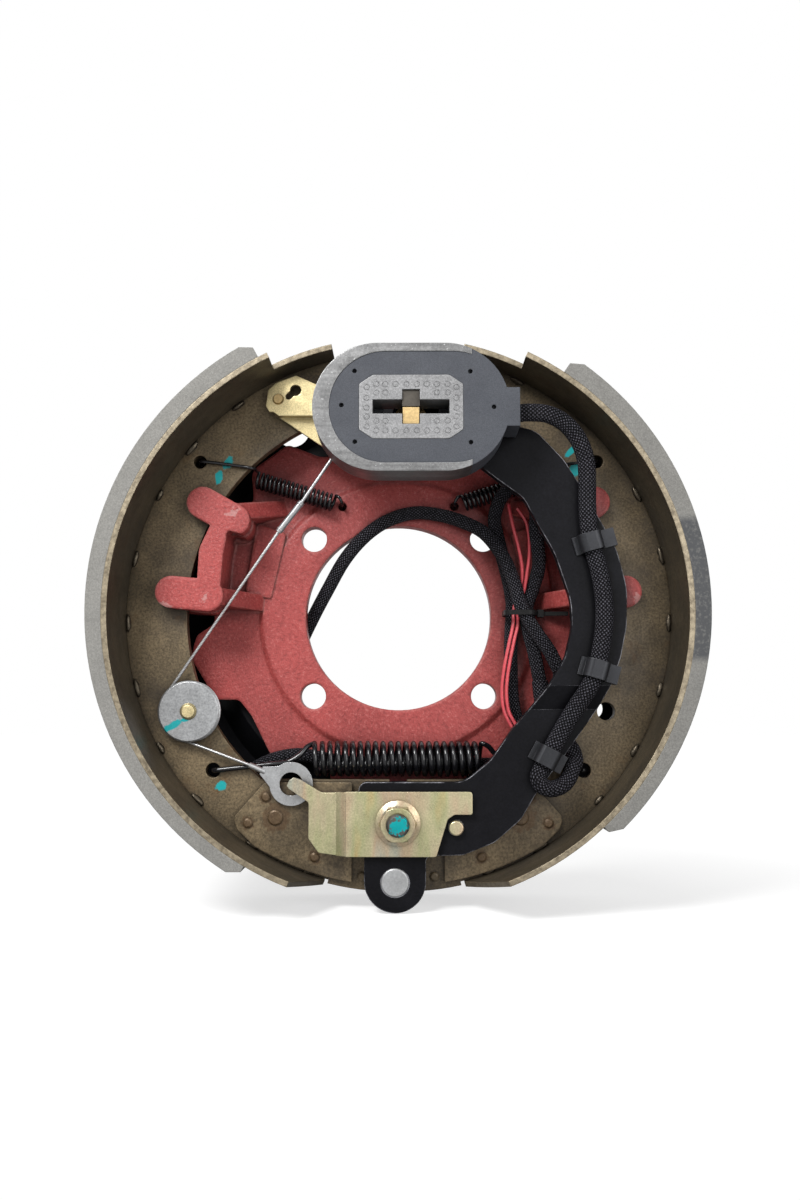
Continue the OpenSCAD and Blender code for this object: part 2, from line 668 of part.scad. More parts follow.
module shoe_lining(i) {
  slope = chamfer_long / chamfer_deep;
  difference() {
    slab(shoe_back, shoe_front) difference() {
      translate(lining_centre(i)) intersection() {
        circle(lining_r, $fn = 180);
        wedge2d(lining_arc[i][0], lining_arc[i][1]);
      }
      translate(centre(i)) circle(table_r, $fn = 180);
    }
    for (k = [0, 1]) {
      turn = k == 0 ? 1 : -1;
      at_angle(lining_centre(i), lining_arc[i][k]) translate([lining_r, -shoe_front - 1, 0])
        rotate([-90, 0, 0]) linear_extrude(shoe_w + 2) polygon([[-chamfer_deep, 0],
          [2, -turn * (chamfer_deep + 2) * slope], [2, turn * 4], [-chamfer_deep, turn * 4]]);
    }
  }
}
module end_plate(i) {
  s = side(i);
  difference() {
    slab(web_front, plate_front) intersection() {
      polygon(rounded([for (p = [[24, -88, 1], [69.5, -88, 3], [85.5, -106, 4], [83.5, -112, 3],
        [69, -126, 2], [60, -160, 0], [24, -160, 0]])
        let (q = moved([p[0], p[1]])) [s * q[0], q[1], p[2]]]));
      translate(centre(i)) circle(web_r - 1.6, $fn = 180);
    }
  }
}
module plate_rivets(i) {
  s = side(i);
  for (p = end_rivets) {
    at = p[0] < 24 ? web_front : plate_front;
    turned(flip(p, s), [[0, at], [end_rivet_r, at], [end_rivet_r, at + 0.5], [end_rivet_r - 0.9,
      at + 1.1], [0, at + 1.1]]);
  }
  turned(flip(dowel_at, s), [[0, plate_front], [dowel_r, plate_front], [dowel_r, plate_front + 0.5],
    [dowel_r - 0.8, plate_front + 1], [0, plate_front + 1]]);
}
module primary_table() color("darkolivegreen") shoe_table(0);
module secondary_table() color("darkolivegreen") shoe_table(1);
module primary_web() color("darkkhaki") shoe_web(0);
module secondary_web() color("darkkhaki") shoe_web(1);
module primary_lining() color("gray") shoe_lining(0);
module secondary_lining() color("gray") shoe_lining(1);
module primary_end_plate() color("tan") end_plate(0);
module secondary_end_plate() color("tan") end_plate(1);
module primary_rivets() color("sienna") plate_rivets(0);
module secondary_rivets() color("sienna") plate_rivets(1);

// Cable pulley on the secondary web, with its pin
pulley_back = web_front + 0.8;
pulley_front = pulley_back + pulley_t;
groove_mid = (pulley_back + pulley_front) / 2;
cable_run_r = pulley_r - 1;
groove_r = cable_run_r - cable_d / 2 - 0.15;
pulley_xz = flip(pulley_at, -1);
module pulley_pin() color("tan") {
  turned(pulley_xz, [[0, web_back - 1.5], [4.5, web_back - 1.5], [4.5, web_back], [3, web_back], [3,
    web_front],
    [5, web_front], [5, pulley_back - 0.1], [3, pulley_back - 0.1], [3, pulley_front + 0.1],
    [4.4, pulley_front + 0.1], [3.2, pulley_front + 1.6], [0, pulley_front + 1.6]]);
}
module cable_pulley() color("lightgray") {
  flank = cable_d / 2 + 0.2;
  turned(pulley_xz, [[3.05, pulley_back], [pulley_r, pulley_back], [pulley_r, groove_mid - flank - 1],
    [groove_r, groove_mid - flank], [groove_r, groove_mid + flank], [pulley_r, groove_mid + flank + 1],
    [pulley_r, pulley_front - 0.6], [pulley_r - 0.8, pulley_front], [3.05, pulley_front]]);
}

// Adjuster cable: eye at the anchor, wire round the pulley, ferrule and hook rod at the lever
eye_at = [-55.4, -88.6];
eye_t = 2;
eye_r = 11.2;
eye_hole_r = 6;
eye_mid = eye_back + eye_t / 2;
eye_dir = 156;
shank_end = 24;
cable_start = [eye_at[0] + shank_end * cos(eye_dir), -eye_mid, eye_at[1] + shank_end * sin(eye_dir)];
ferrule_from = [-63.2, -37, screw_z - 77.9];
ferrule_to = [-50.8, -38.6, screw_z - 62.2];
rod_end = [-30.8, -40, screw_z - 33];
on_pulley = 248;
off_pulley = 146;
function on_groove(a) = [pulley_xz[0] + cable_run_r * cos(a), -groove_mid,
  pulley_xz[1] + cable_run_r * sin(a)];
module adjuster_cable() color("gainsboro") {
  wrap = [for (k = [0 : 10]) on_groove(on_pulley + (off_pulley - on_pulley) * k / 10)];
  before = (cable_start + wrap[0]) / 2;
  after = (ferrule_from + wrap[10]) / 2;
  sweep(concat([cable_start, before], wrap, [after, ferrule_from]), cable_d / 2, cable_d / 2);
}
module cable_eyelet() color("silver") {
  difference() {
    union() {
      post(eye_at, eye_back, eye_back + eye_t, eye_r);
      slab(eye_back, eye_back + eye_t) polygon(rounded([
        for (p = [[8, 6.6], [17, 2], [17, -2], [8, -6.6]])
          [eye_at[0] + p[0] * cos(eye_dir) - p[1] * sin(eye_dir), eye_at[1] + p[0] * sin(eye_dir)
            + p[1] * cos(eye_dir), 0.3]]));
      at_angle(eye_at, eye_dir) translate([15, -eye_mid, 0]) rotate([0, 90, 0])
        cylinder(h = shank_end - 15, r = 1.5);
    }
    post(eye_at, eye_back - 1, eye_back + eye_t + 1, eye_hole_r);
  }
}
module rod_between(p, q, r) {
  d = q - p;
  translate(p) rotate([0, acos(d[2] / norm(d)), atan2(d[1], d[0])]) cylinder(h = norm(d), r = r);
}
module cable_hook() color("silver") {
  rod_between(ferrule_from, ferrule_to, 1.7);
  rod_between(ferrule_to - [0.2, 0, 0.3], rod_end, 0.9);
  post([rod_end[0], rod_end[2]], pawl_back - 1.6, -rod_end[1] + 0.5, 0.9);
}

// Adjuster lever: folded sheet that turns on a rivet in the secondary web
pawl_back = web_front + 0.9;
pawl_step = 5;
lever_at = [-63.9, screw_z - 6.6];
// Outlines of the lever are given from the height of the adjuster's screw
module from_screw(P) {
  translate([0, screw_z]) polygon(rounded(P));
}
module adjuster_lever() color([0.8, 0.7, 0.35]) {
  high = pawl_back + pawl_step;
  difference() {
    union() {
      slab(high, high + pawl_t) from_screw([[-54.5, 6.4, 1.5], [-65.4, 2.2, 3], [-69.4, -1.7, 2],
        [-70.5, -10.3, 2], [-68.6, -13.4, 1], [-22, -13.4, 1], [-22, -9.5, 1], [-44, 1.6, 2]]);
      slab(pawl_back, high + pawl_t)
        from_screw([[-66.5, -13.4, 0], [-22, -13.4, 0], [-22, -15.6, 0], [-63.5, -15.6, 0]]);
      slab(pawl_back, pawl_back + pawl_t) from_screw([[-63.5, -15.5, 0], [-22, -15.5, 0], [-5, -15.5, 0],
        [-3, -14.2, 0.5], [1.5, -14.2, 0.5], [1.5, -16.8, 0.8], [-16, -22, 3], [-24, -36.5, 2],
        [-29.5, -37.6, 2], [-43.1, -29.4, 1]]);
    }
    post(lever_at, pawl_back, high + pawl_t + 1, 2.25);
    post([-54.7, screw_z - 1.8], high - 1, high + pawl_t + 1, 3);
    slab(high - 1, high + pawl_t + 1) bar2d([-55.5, screw_z - 2.5], [-58.4, screw_z - 5.2], 3.4);
    slab(pawl_back - 1, pawl_back + pawl_t + 1) bar2d([rod_end[0], rod_end[2]], [rod_end[0] + 1.7,
      rod_end[2] + 2.2], 3);
  }
}
module lever_rivet() color("peru") {
  high = pawl_back + pawl_step;
  turned(lever_at, [[0, web_front], [4, web_front], [4, high - 0.15], [2.2, high - 0.15], [2.2,
    high + pawl_t + 0.15],
    [3, high + pawl_t + 0.15], [2.4, high + pawl_t + 1.4], [0, high + pawl_t + 1.4]]);
}

// Adjuster screw between the shoes: forked nut, star wheel and forked socket
fork_out = 38;
fork_floor = 29.3;
slot_gap = 0.2;
module along_x(x0, x1, r, n = 96) {
  translate([x0, -web_mid, screw_z]) rotate([0, 90, 0]) cylinder(h = x1 - x0, r = r, $fn = n);
}
module fork_end(s, x_in, bore) {
  difference() {
    along_x(min(s * x_in, s * fork_out), max(s * x_in, s * fork_out), fork_r);
    along_x(min(s * (x_in - 1), s * (fork_floor - 5)), max(s * (x_in - 1), s * (fork_floor - 5)), bore);
    translate([s * (fork_floor + fork_out) / 2 + s * 0.5, -web_mid, screw_z])
      cube([fork_out - fork_floor + 1, web_t + 2 * slot_gap, 3 * fork_r], center = true);
  }
}
module adjuster_nut() color("silver") fork_end(-1, 9, 5.05);
module adjuster_socket() color("silver") fork_end(1, 6, 4.55);
module star_wheel() color("goldenrod") {
  along_x(-22, -2.4, 5);
  along_x(2.4, 21, 4.5);
  translate([-2.5, -web_mid, screw_z]) rotate([0, 90, 0]) linear_extrude(5)
    polygon([for (k = [0 : 2 * star_teeth - 1]) let (a = 180 * k / star_teeth,
      r = k % 2 == 0 ? star_r : star_r - 2.2)
      [r * cos(a), r * sin(a)]]);
}

// Springs: a wire wound about an axis between two points, and hooks that follow hand-set points
module coil(p, q, od, wire, turns, per_turn, n) {
  axis = unit(q - p);
  e1 = unit(cross(axis, [0, 1, 0])) * (axis[0] < 0 ? -1 : 1);
  e2 = cross(axis, e1);
  r = (od - wire) / 2;
  total = turns * per_turn;
  out = [for (i = [0 : total]) let (a = 360 * i / per_turn) cos(a) * e1 + sin(a) * e2];
  sweep([for (i = [0 : total]) p + (q - p) * i / total + r * out[i]], wire / 2, wire / 2, n, out);
}
module hook(points, wire) sweep(route(points, 2), wire / 2, wire / 2, 6);
big_half = 44.3;
// The spring lies above the webs' straight edge and above the end plates
end_plate_top = moved([24, -88])[1];
big_axis = [24.3, big_od / 2 + max(1.1 - web_floor, 2.4 + end_plate_top)];
module adjuster_spring() color([0.1, 0.1, 0.1]) {
  r = (big_od - big_wire) / 2;
  coil([-big_half, -big_axis[0], big_axis[1]], [big_half, -big_axis[0], big_axis[1]], big_od, big_wire,
    big_turns, 14, 6);
  // The left hook crosses in front of its web and the right one behind
  hook([[0.3 - big_half, big_axis[0], big_axis[1] + r], [-big_half - 3.6, big_axis[0] + 3.5,
    big_axis[1] + r - 1.6], [-big_half - 7.5, big_axis[0] + 6, big_axis[1] + 2],
    [-58, 31, big_axis[1] - 1.4], [-66, 32.2, big_axis[1] - 2.4],
    [6.9 - spring_low[0], 32.2, spring_low[1] + 0.7], [1.7 - spring_low[0], 31.6, spring_low[1]],
    [-spring_low[0], 29, spring_low[1]], [-spring_low[0], 22.4, spring_low[1]]], big_wire);
  hook([[big_half - 0.3, big_axis[0], big_axis[1] + r], [big_half + 3.6, big_axis[0] - 1,
    big_axis[1] + r - 1.6], [big_half + 8, 21.6, big_axis[1] + 1.8], [60, 21, big_axis[1] - 0.8],
    [spring_low[0] - 8.9, 21, spring_low[1] + 0.9],
    [spring_low[0] - 2.1, 21.4, spring_low[1]], [spring_low[0], 24, spring_low[1]],
    [spring_low[0], 30.6, spring_low[1]]], big_wire);
}
module retractor(s) {
  r = (small_od - small_wire) / 2;
  out = [s * 77.5, -16, 75.2];
  inner = [s * 35.5, -16, 62.4];
  coil(out, inner, small_od, small_wire, small_turns, 12, 6);
  tip = flip(spring_top, s);
  hook([[s * (77.5 - 0.29 * r), 16, 75.2 + 0.957 * r], [s * 77.3, 21, 79], [s * 77.5, 31.2, 78.2],
    [s * 84, 32.1, 79.4],
    [tip[0] - s * 4.5, 31.9, tip[1] - 0.4], [tip[0], 30, tip[1]], [tip[0], 22.6, tip[1]]], small_wire);
  hook([[s * (35.5 - 0.29 * r), 16, 62.4 + 0.957 * r], [s * 32.4, 17.6, 65.2], [s * 31, 16.4, 62.6],
    [s * spring_post[0], 13, spring_post[1]],
    [s * spring_post[0], 3.4, spring_post[1]]], small_wire);
}
module retractor_spring_left() color([0.1, 0.1, 0.1]) retractor(-1);
module retractor_spring_right() color([0.1, 0.1, 0.1]) retractor(1);

// Sleeved lead: points are [x, depth, z]
arm_lead_points = [[61.8, 63.5, 99.8], [68, 63.2, 100.2], [77, 61.5, 99.6], [86, 58.5, 95.5],
  [93, 55.9, 87.5], [96.8, 53.9, 77], [97.4, 53.1, 65], [97.4, 53, 51], [98.9, 53, 35.3],
  [102.8, 53, 20.6], [105, 53, 5], [104.6, 53, -10], [100.8, 53, -29.8], [96.6, 52, -39.5],
  [91, 48.4, -48.5], [85, 46.7, -58.5], [76.1, 46.6, -74.2], [73.5, 46.6, -79]];
lead_loop_points = [[73.3, 46.6, -79.35], [71.3, 46.4, -84], [73, 45.9, -88.4], [78.2, 44.6, -90.4],
  [84, 42.8, -88.6], [87.6, 41, -85], [89.6, 38.8, -81], [91.6, 36.4, -77], [90.6, 34.4, -71.5],
  [87, 33.2, -66.5], [82.5, 31, -60.5], [78.5, 27.5, -53.5], [76.5, 23.5, -45], [75.85, 20.05, -35.35]];
lead_hank_points = [[75.8, 20, -35], [73, 20.5, -20], [70, 21, -8], [69, 21, 4], [73, 21.5, 16],
  [75.6, 25, 28], [73.5, 30, 45], [73.5, 33, 57], [71.5, 34, 67], [65.5, 32.5, 70.5], [59.5, 29, 68],
  [54.5, 24, 61.5], [52.4, 18.5, 53], [54, 15.2, 45], [56.5, 14.5, 34], [60, 14.5, 20], [62, 14.5, 6],
  [61.2, 14.7, -10], [60.8, 16, -28], [61.5, 17.5, -46], [65, 17, -59], [72, 17, -64], [79.5, 18, -60],
  [84.5, 21.5, -50], [86.2, 25, -40], [85.5, 27.2, -30]];
lead_tail_points = [[85.35, 27.2, -29.7], [80, 27.4, -19], [72.5, 27.2, -8], [65.5, 26.6, 5],
  [62, 24.6, 18], [56.5, 21.4, 32], [47, 18.4, 45], [35.5, 15.4, 51.8], [22.4, 14, 56], [8.7, 13.6, 57.2],
  [-5, 13.4, 53.4], [-17.7, 12, 45.2], [-29.4, 7.6, 32.6], [-39.5, 1.5, 16], [-48.4, -3.6, 0],
  [-55, -6.2, -14], [-60, -7.4, -30], [-62, -8, -46], [-62, -8, -60]];
module arm_lead() color([0.15, 0.15, 0.15]) sweep(route(arm_lead_points), lead_w / 2, lead_h / 2);
module lead_loop() color([0.15, 0.15, 0.15]) sweep(route(lead_loop_points), loop_w / 2, loop_h / 2);
module lead_hank() color([0.15, 0.15, 0.15]) sweep(route(lead_hank_points), strand_w / 2, strand_h / 2);
module lead_tail() color([0.15, 0.15, 0.15]) sweep(route(lead_tail_points), strand_w / 2, strand_h / 2);
lower_lead_points = [[85.5, 14.5, -66], [77, 12.6, -74], [66, 11.6, -79], [50, 11.2, -80],
  [25, 11.2, -79.5], [0, 11.2, -79.5], [-25, 11.2, -79.3], [-42, 13, -76.5], [-52, 15.5, -74.6],
  [-62, 16.5, -75.6], [-72, 14, -79], [-82, 10, -85]];
wire_r = 0.95;
red_inner_points = [[59.5, 24.6, 60.5], [61.5, 26, 49], [64.5, 25.5, 37], [66.5, 24.5, 26],
  [66.2, 22.2, 15], [62.5, 21.4, 5], [61.6, 22.8, -5], [59.3, 23.6, -15], [56.6, 24, -28],
  [55.2, 24.3, -40], [56.2, 25, -51], [60.4, 26.4, -60]];
red_outer_points = [[64, 27, 57.5], [68.5, 27, 50.5], [70.3, 26, 42], [70.4, 25, 32], [69, 24.6, 22],
  [67.4, 23.7, 13], [64.6, 22.4, 5], [64, 23.2, -5], [61.6, 24, -15], [58.9, 24.8, -28],
  [57.5, 25.3, -40], [58.5, 26, -51], [62.8, 27.4, -59.5]];
module lower_lead() color([0.15, 0.15, 0.15]) sweep(route(lower_lead_points), strand_w / 2, strand_h / 2);
module red_wire_inner() color([0.8, 0.25, 0.3]) sweep(route(red_inner_points, 1), wire_r, wire_r);
module red_wire_outer() color([0.8, 0.25, 0.3]) sweep(route(red_outer_points, 1), wire_r, wire_r);

// Cable tie round the three strands, with its head and tail
tie_box = [[57.4, -29.8], [73.4, -11.4]];
tie_z = -0.2;
module zip_tie() color([0.05, 0.05, 0.05]) {
  lo = tie_box[0];
  hi = tie_box[1];
  translate([0, 0, tie_z]) linear_extrude(2.6) difference() {
    polygon(rounded([[lo[0] - 1, lo[1] - 1, 5], [hi[0] + 1, lo[1] - 1, 5], [hi[0] + 1, hi[1] + 1, 5],
      [lo[0] - 1, hi[1] + 1, 5]]));
    polygon(rounded([[lo[0], lo[1], 4.4], [hi[0], lo[1], 4.4], [hi[0], hi[1], 4.4], [lo[0], hi[1], 4.4]]));
  }
  translate([hi[0] + 0.9, -26, tie_z - 1]) cube([3.4, 4.4, 4]);
  translate([hi[0] + 4.2, -24.6, tie_z - 0.2]) linear_extrude(2.2) polygon([[0, 0], [13, -1.6], [13,
    -0.6], [0, 1]]);
}

// Crimped ends of the lead's two wires, behind the spider
module wire_terminals() color([0.2, 0.3, 0.6]) {
  for (s = [-1, 1]) translate([-62 + s * 2.1, 8, -74.4]) {
    cylinder(h = 14, r = 1);
    cylinder(h = 9, r = 1.9);
  }
}

spider();
dust_shield();
shield_screws();
anchor_post();
anchor_guide_plate();
anchor_nut();
lever_arm();
cam_pin();
cam_roller();
stop_pin();
magnet_post();
lead_clips();
magnet_shell();
magnet_coil_block();
magnet_pole();
magnet_keeper();
magnet_spring();
primary_table();
primary_web();
primary_lining();
primary_end_plate();
primary_rivets();
secondary_table();
secondary_web();
secondary_lining();
secondary_end_plate();
secondary_rivets();
pulley_pin();
cable_pulley();
adjuster_cable();
cable_eyelet();
cable_hook();
adjuster_lever();
lever_rivet();
adjuster_nut();
star_wheel();
adjuster_socket();
adjuster_spring();
retractor_spring_left();
retractor_spring_right();
arm_lead();
lead_loop();
lead_hank();
lead_tail();
lower_lead();
red_wire_inner();
red_wire_outer();
zip_tie();
wire_terminals();
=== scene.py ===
"""Looks of an electric drum brake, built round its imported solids.

Every length is in metres in the solids' own frame: +X right, +Z up, the drum side faces -Y.
"""

import json
import math
import random

import bpy
from bpy.props import FloatProperty, FloatVectorProperty, IntProperty, PointerProperty
from bpy.types import Operator, Panel, PropertyGroup
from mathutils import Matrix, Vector


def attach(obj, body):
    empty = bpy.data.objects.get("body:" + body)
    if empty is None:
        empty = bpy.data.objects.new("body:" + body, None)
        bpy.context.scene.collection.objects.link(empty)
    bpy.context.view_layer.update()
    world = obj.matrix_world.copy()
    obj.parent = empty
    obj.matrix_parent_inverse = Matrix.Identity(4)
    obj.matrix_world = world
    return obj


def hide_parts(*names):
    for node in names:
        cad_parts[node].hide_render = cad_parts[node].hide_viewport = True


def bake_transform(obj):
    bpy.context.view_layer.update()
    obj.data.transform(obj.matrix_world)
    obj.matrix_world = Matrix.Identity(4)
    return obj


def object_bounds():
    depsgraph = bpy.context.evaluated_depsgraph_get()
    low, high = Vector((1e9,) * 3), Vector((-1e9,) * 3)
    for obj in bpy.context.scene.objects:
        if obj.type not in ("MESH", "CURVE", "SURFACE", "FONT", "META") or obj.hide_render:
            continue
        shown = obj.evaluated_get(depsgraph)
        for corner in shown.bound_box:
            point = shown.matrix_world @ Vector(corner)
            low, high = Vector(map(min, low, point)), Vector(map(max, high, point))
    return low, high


bl_info = {
    "name": "Drum brake finishes",
    "version": (1, 0, 0),
    "blender": (4, 5, 0),
    "location": "3D View > Sidebar > Brake",
    "description": "Paint, plating, springs, sleeved leads and light for a trailer's drum brake",
    "category": "Object",
}

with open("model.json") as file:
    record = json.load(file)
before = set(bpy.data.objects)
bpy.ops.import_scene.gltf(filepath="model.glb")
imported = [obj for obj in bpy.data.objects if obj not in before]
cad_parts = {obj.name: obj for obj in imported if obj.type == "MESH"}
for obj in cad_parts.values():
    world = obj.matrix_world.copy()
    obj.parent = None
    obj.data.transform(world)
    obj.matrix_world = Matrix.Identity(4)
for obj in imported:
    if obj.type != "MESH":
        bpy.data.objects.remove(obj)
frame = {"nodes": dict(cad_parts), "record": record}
CAD_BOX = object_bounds()
NODES = frame["nodes"]
MM = 0.001

# The camera, and the point that the lamps face and the floor pales round, in metres
CAMERA_AT = (0.0041, -0.6089, -0.0471)
CAMERA_LOOKS = (-0.0054, 0.9955, 0.0941)
LAMPS_FACE = (0, -0.03, 0)

# These places and sizes are in millimetres, and a place is x, depth towards the drum, and z
ARM_LEAD = [(61.8, 63.5, 99.8), (68, 63.2, 100.2), (77, 61.5, 99.6), (86, 58.5, 95.5), (93, 55.9, 87.5),
            (96.8, 53.9, 77), (97.4, 53.1, 65), (97.4, 53, 51), (98.9, 53, 35.3), (102.8, 53, 20.6),
            (105, 53, 5), (104.6, 53, -10), (100.8, 53, -29.8), (96.6, 52, -39.5), (91, 48.4, -48.5),
            (85, 46.7, -58.5), (76.1, 46.6, -74.2), (73.5, 46.6, -79)]
LEAD_LOOP = [(73.3, 46.6, -79.35), (71.3, 46.4, -84), (73, 45.9, -88.4), (78.2, 44.6, -90.4),
             (84, 42.8, -88.6), (87.6, 41, -85), (89.6, 38.8, -81), (91.6, 36.4, -77), (90.6, 34.4, -71.5),
             (87, 33.2, -66.5), (82.5, 31, -60.5), (78.5, 27.5, -53.5), (76.5, 23.5, -45),
             (75.85, 20.05, -35.35)]
LEAD_HANK = [(75.8, 20, -35), (73, 20.5, -20), (70, 21, -8), (69, 21, 4), (73, 21.5, 16), (75.6, 25, 28),
             (73.5, 30, 45), (73.5, 33, 57), (71.5, 34, 67), (65.5, 32.5, 70.5), (59.5, 29, 68),
             (54.5, 24, 61.5), (52.4, 18.5, 53), (54, 15.2, 45), (56.5, 14.5, 34), (60, 14.5, 20),
             (62, 14.5, 6), (61.2, 14.7, -10), (60.8, 16, -28), (61.5, 17.5, -46), (65, 17, -59),
             (72, 17, -64), (79.5, 18, -60), (84.5, 21.5, -50), (86.2, 25, -40), (85.5, 27.2, -30)]
LEAD_TAIL = [(85.35, 27.2, -29.7), (80, 27.4, -19), (72.5, 27.2, -8), (65.5, 26.6, 5), (62, 24.6, 18),
             (56.5, 21.4, 32), (47, 18.4, 45), (35.5, 15.4, 51.8), (22.4, 14, 56), (8.7, 13.6, 57.2),
             (-5, 13.4, 53.4), (-17.7, 12, 45.2), (-29.4, 7.6, 32.6), (-39.5, 1.5, 16), (-48.4, -3.6, 0),
             (-55, -6.2, -14), (-60, -7.4, -30), (-62, -8, -46), (-62, -8, -60)]
LOWER_LEAD = [(85.5, 14.5, -66), (77, 12.6, -74), (66, 11.6, -79), (50, 11.2, -80), (25, 11.2, -79.5),
              (0, 11.2, -79.5), (-25, 11.2, -79.3), (-42, 13, -76.5), (-52, 15.5, -74.6),
              (-62, 16.5, -75.6), (-72, 14, -79), (-82, 10, -85)]
RED_INNER = [(59.5, 24.6, 60.5), (61.5, 26, 49), (64.5, 25.5, 37), (66.5, 24.5, 26), (66.2, 22.2, 15),
             (62.5, 21.4, 5), (61.6, 22.8, -5), (59.3, 23.6, -15), (56.6, 24, -28), (55.2, 24.3, -40),
             (56.2, 25, -51), (60.4, 26.4, -60)]
RED_OUTER = [(64, 27, 57.5), (68.5, 27, 50.5), (70.3, 26, 42), (70.4, 25, 32), (69, 24.6, 22),
             (67.4, 23.7, 13), (64.6, 22.4, 5), (64, 23.2, -5), (61.6, 24, -15), (58.9, 24.8, -28),
             (57.5, 25.3, -40), (58.5, 26, -51), (62.8, 27.4, -59.5)]
# Sizes of the lead and the wires that aren't settings
ARM_SLEEVE_HEIGHT = 6.2
LOOP_WIDTH, LOOP_HEIGHT = 8.6, 5.6
BUNDLE_HEIGHT = 5
RED_WIRE = 1.9

# Each side's sign along x, and the body of its shoe
SIDES = [("right", 1, "primary_shoe"), ("left", -1, "secondary_shoe")]

# The adjuster spring's coil runs along x, at this depth and z, to half its length on each side
BIG_SPRING_AXIS = (24.3, -76.2)
BIG_SPRING_HALF = 44.3
BIG_SPRING_ACROSS = 18.8
# Its left hook (-1) crosses in front of its web and the right one (1) behind; x is mirrored on the left
BIG_HOOKS = {
    -1: [(47.9, 27.8, -69.8), (51.8, 30.3, -74.2), (58, 31, -77.6), (66, 32.2, -78.6), (90, 32.2, -81.2),
         (95.2, 31.6, -81.9), (96.9, 29, -81.9), (96.9, 22.4, -81.9)],
    1: [(47.9, 23.3, -69.8), (52.3, 21.6, -74.4), (60, 21, -77), (88, 21, -81), (94.8, 21.4, -81.9),
        (96.9, 24, -81.9), (96.9, 30.6, -81.9)]}
# The right retractor spring: its coil's outer and inner end, its hook and its eye
RETRACTOR_ENDS = [(77.5, 16, 75.2), (35.5, 16, 62.4)]
RETRACTOR_ACROSS = 10
RETRACTOR_HOOK = [(106.5, 22.6, 82.2), (106.5, 30, 82.2), (102, 31.9, 81.8), (84, 32.1, 79.4),
                  (77.5, 31.2, 78.2), (77.3, 21, 79)]
RETRACTOR_EYE = [(32.4, 17.6, 65.2), (31, 16.4, 62.6), (31, 13, 61.4), (31, 3.4, 61.4)]
# The magnet's middle, the depth of its pole's face, and the spring behind it
MAGNET_X, MAGNET_Z = 6.7, 100
POLE_FACE = 75.8
MAGNET_COIL_ENDS = [(MAGNET_X, 51.6, MAGNET_Z), (MAGNET_X, 57, MAGNET_Z)]
MAGNET_COIL_TURNS = 4
MAGNET_COIL_ACROSS = 9.6
MAGNET_COIL_WIRE = 0.9
# The ferrule on the adjuster cable, and where its crimps start, as shares of its length
FERRULE_ENDS = [(-63.2, 37, 43.1), (-50.8, 38.6, 58.8)]
CRIMP_STARTS = {"crimp_low": 0.06, "crimp_high": 0.9}
CRIMP_SHARE = 0.05
CRIMP_ACROSS = 4

# Middle of each shoe's circle, mirrored on the left, and the angles in degrees where a weld bead lies
SHOE_MIDDLE = (2.4, -0.2)
WELD_RADIUS = 140.9
WELD_DEPTH = 30.3
WELD_ANGLES = {-1: (126.6, 140.4, 152.9, 167.8, 181.8, 196, 209.8, 223.4, 238.5, 251.8),
               1: (64, 27.3, 12.9, -1.8, -16.4, -30.4, -43.5, -59.4, -71.5)}
# A bead's half length along the table, half width and half height
BEAD_HALVES = (4.2, 1.6, 1.5)
# Rings on the pole: a row's height over the magnet's middle, and its rings' places along x
FULL_ROW = (-17.4, -12.9, -7.8, -2.4, 2.8, 7.8, 12.8, 18.2)
PART_ROW = (-17.4, -12.9, 12.8, 18.2)
END_ROW = (-22.2, 22.5)
RING_ROWS = [(11.5, FULL_ROW), (7.2, PART_ROW), (-7.1, PART_ROW), (-12, FULL_ROW), (10, END_ROW),
             (4.5, END_ROW), (-0.5, END_ROW), (-5, END_ROW), (-10, END_ROW)]
# A ring's radius, half the width of its rim and how far it stands proud
RING_SIZES = (1.35, 0.26, 0.2)

# Marks in the front view: x, z, half width and half height, and a turn in degrees
TEAL_LEFT_WEB = [(-91.5, 81.6, 4, 2.3, 60), (-96.3, 74, 4, 2.1, 80), (-92.7, -90.1, 3.2, 2.4, 20)]
TEAL_RIGHT_WEB = [(92.3, 87.4, 1.6, 3.4, -40), (95.4, 77.6, 4.4, 3.4, 30)]
TEAL_PULLEY = [(-117.2, -58.6, 5.4, 1.9, 30), (-109.6, -54.6, 3.2, 1.5, 30)]
SCRAPES = [(-87.6, 52.8, 3.2, 1.6, 30), (-101.1, 7.8, 3.4, 1.4, 60), (-123, 4.4, 5, 1.2, -10),
           (125.3, 6.7, 1.8, 3.6, 20)]
# The mark on the anchor's end is more ragged, as its last value says
TEAL_ANCHOR = [(0, -107.5, 4.2, 4.2, 0, 2.2)]
# Rust round the dowel and the rivets of the right end plate, mirrored to the left: x, z and half width
RUST_SPOTS = [(63.7, -106, 7.4), (68.7, -95.5, 3.6), (78, -108.8, 3.6), (43.2, -126.2, 3.6)]
# Lowest and highest point of the painted band on the primary lining
BAND_LOW, BAND_HIGH = -26, 46
# Cells of the sleeve's weave round it, and the length of one
CELLS_AROUND = 14.0
CELL_LENGTH = 2.1

TEAL = (0.0, 0.36, 0.38, 1)
RUST = (0.075, 0.036, 0.014, 1)


def place(x, depth, z):
    """A point in the frame, from millimetres."""
    return Vector((x * MM, -depth * MM, z * MM))


def places(route, side=1):
    """The points of a route; a side of -1 gives its mirror image."""
    return [place(side * x, depth, z) for x, depth, z in route]


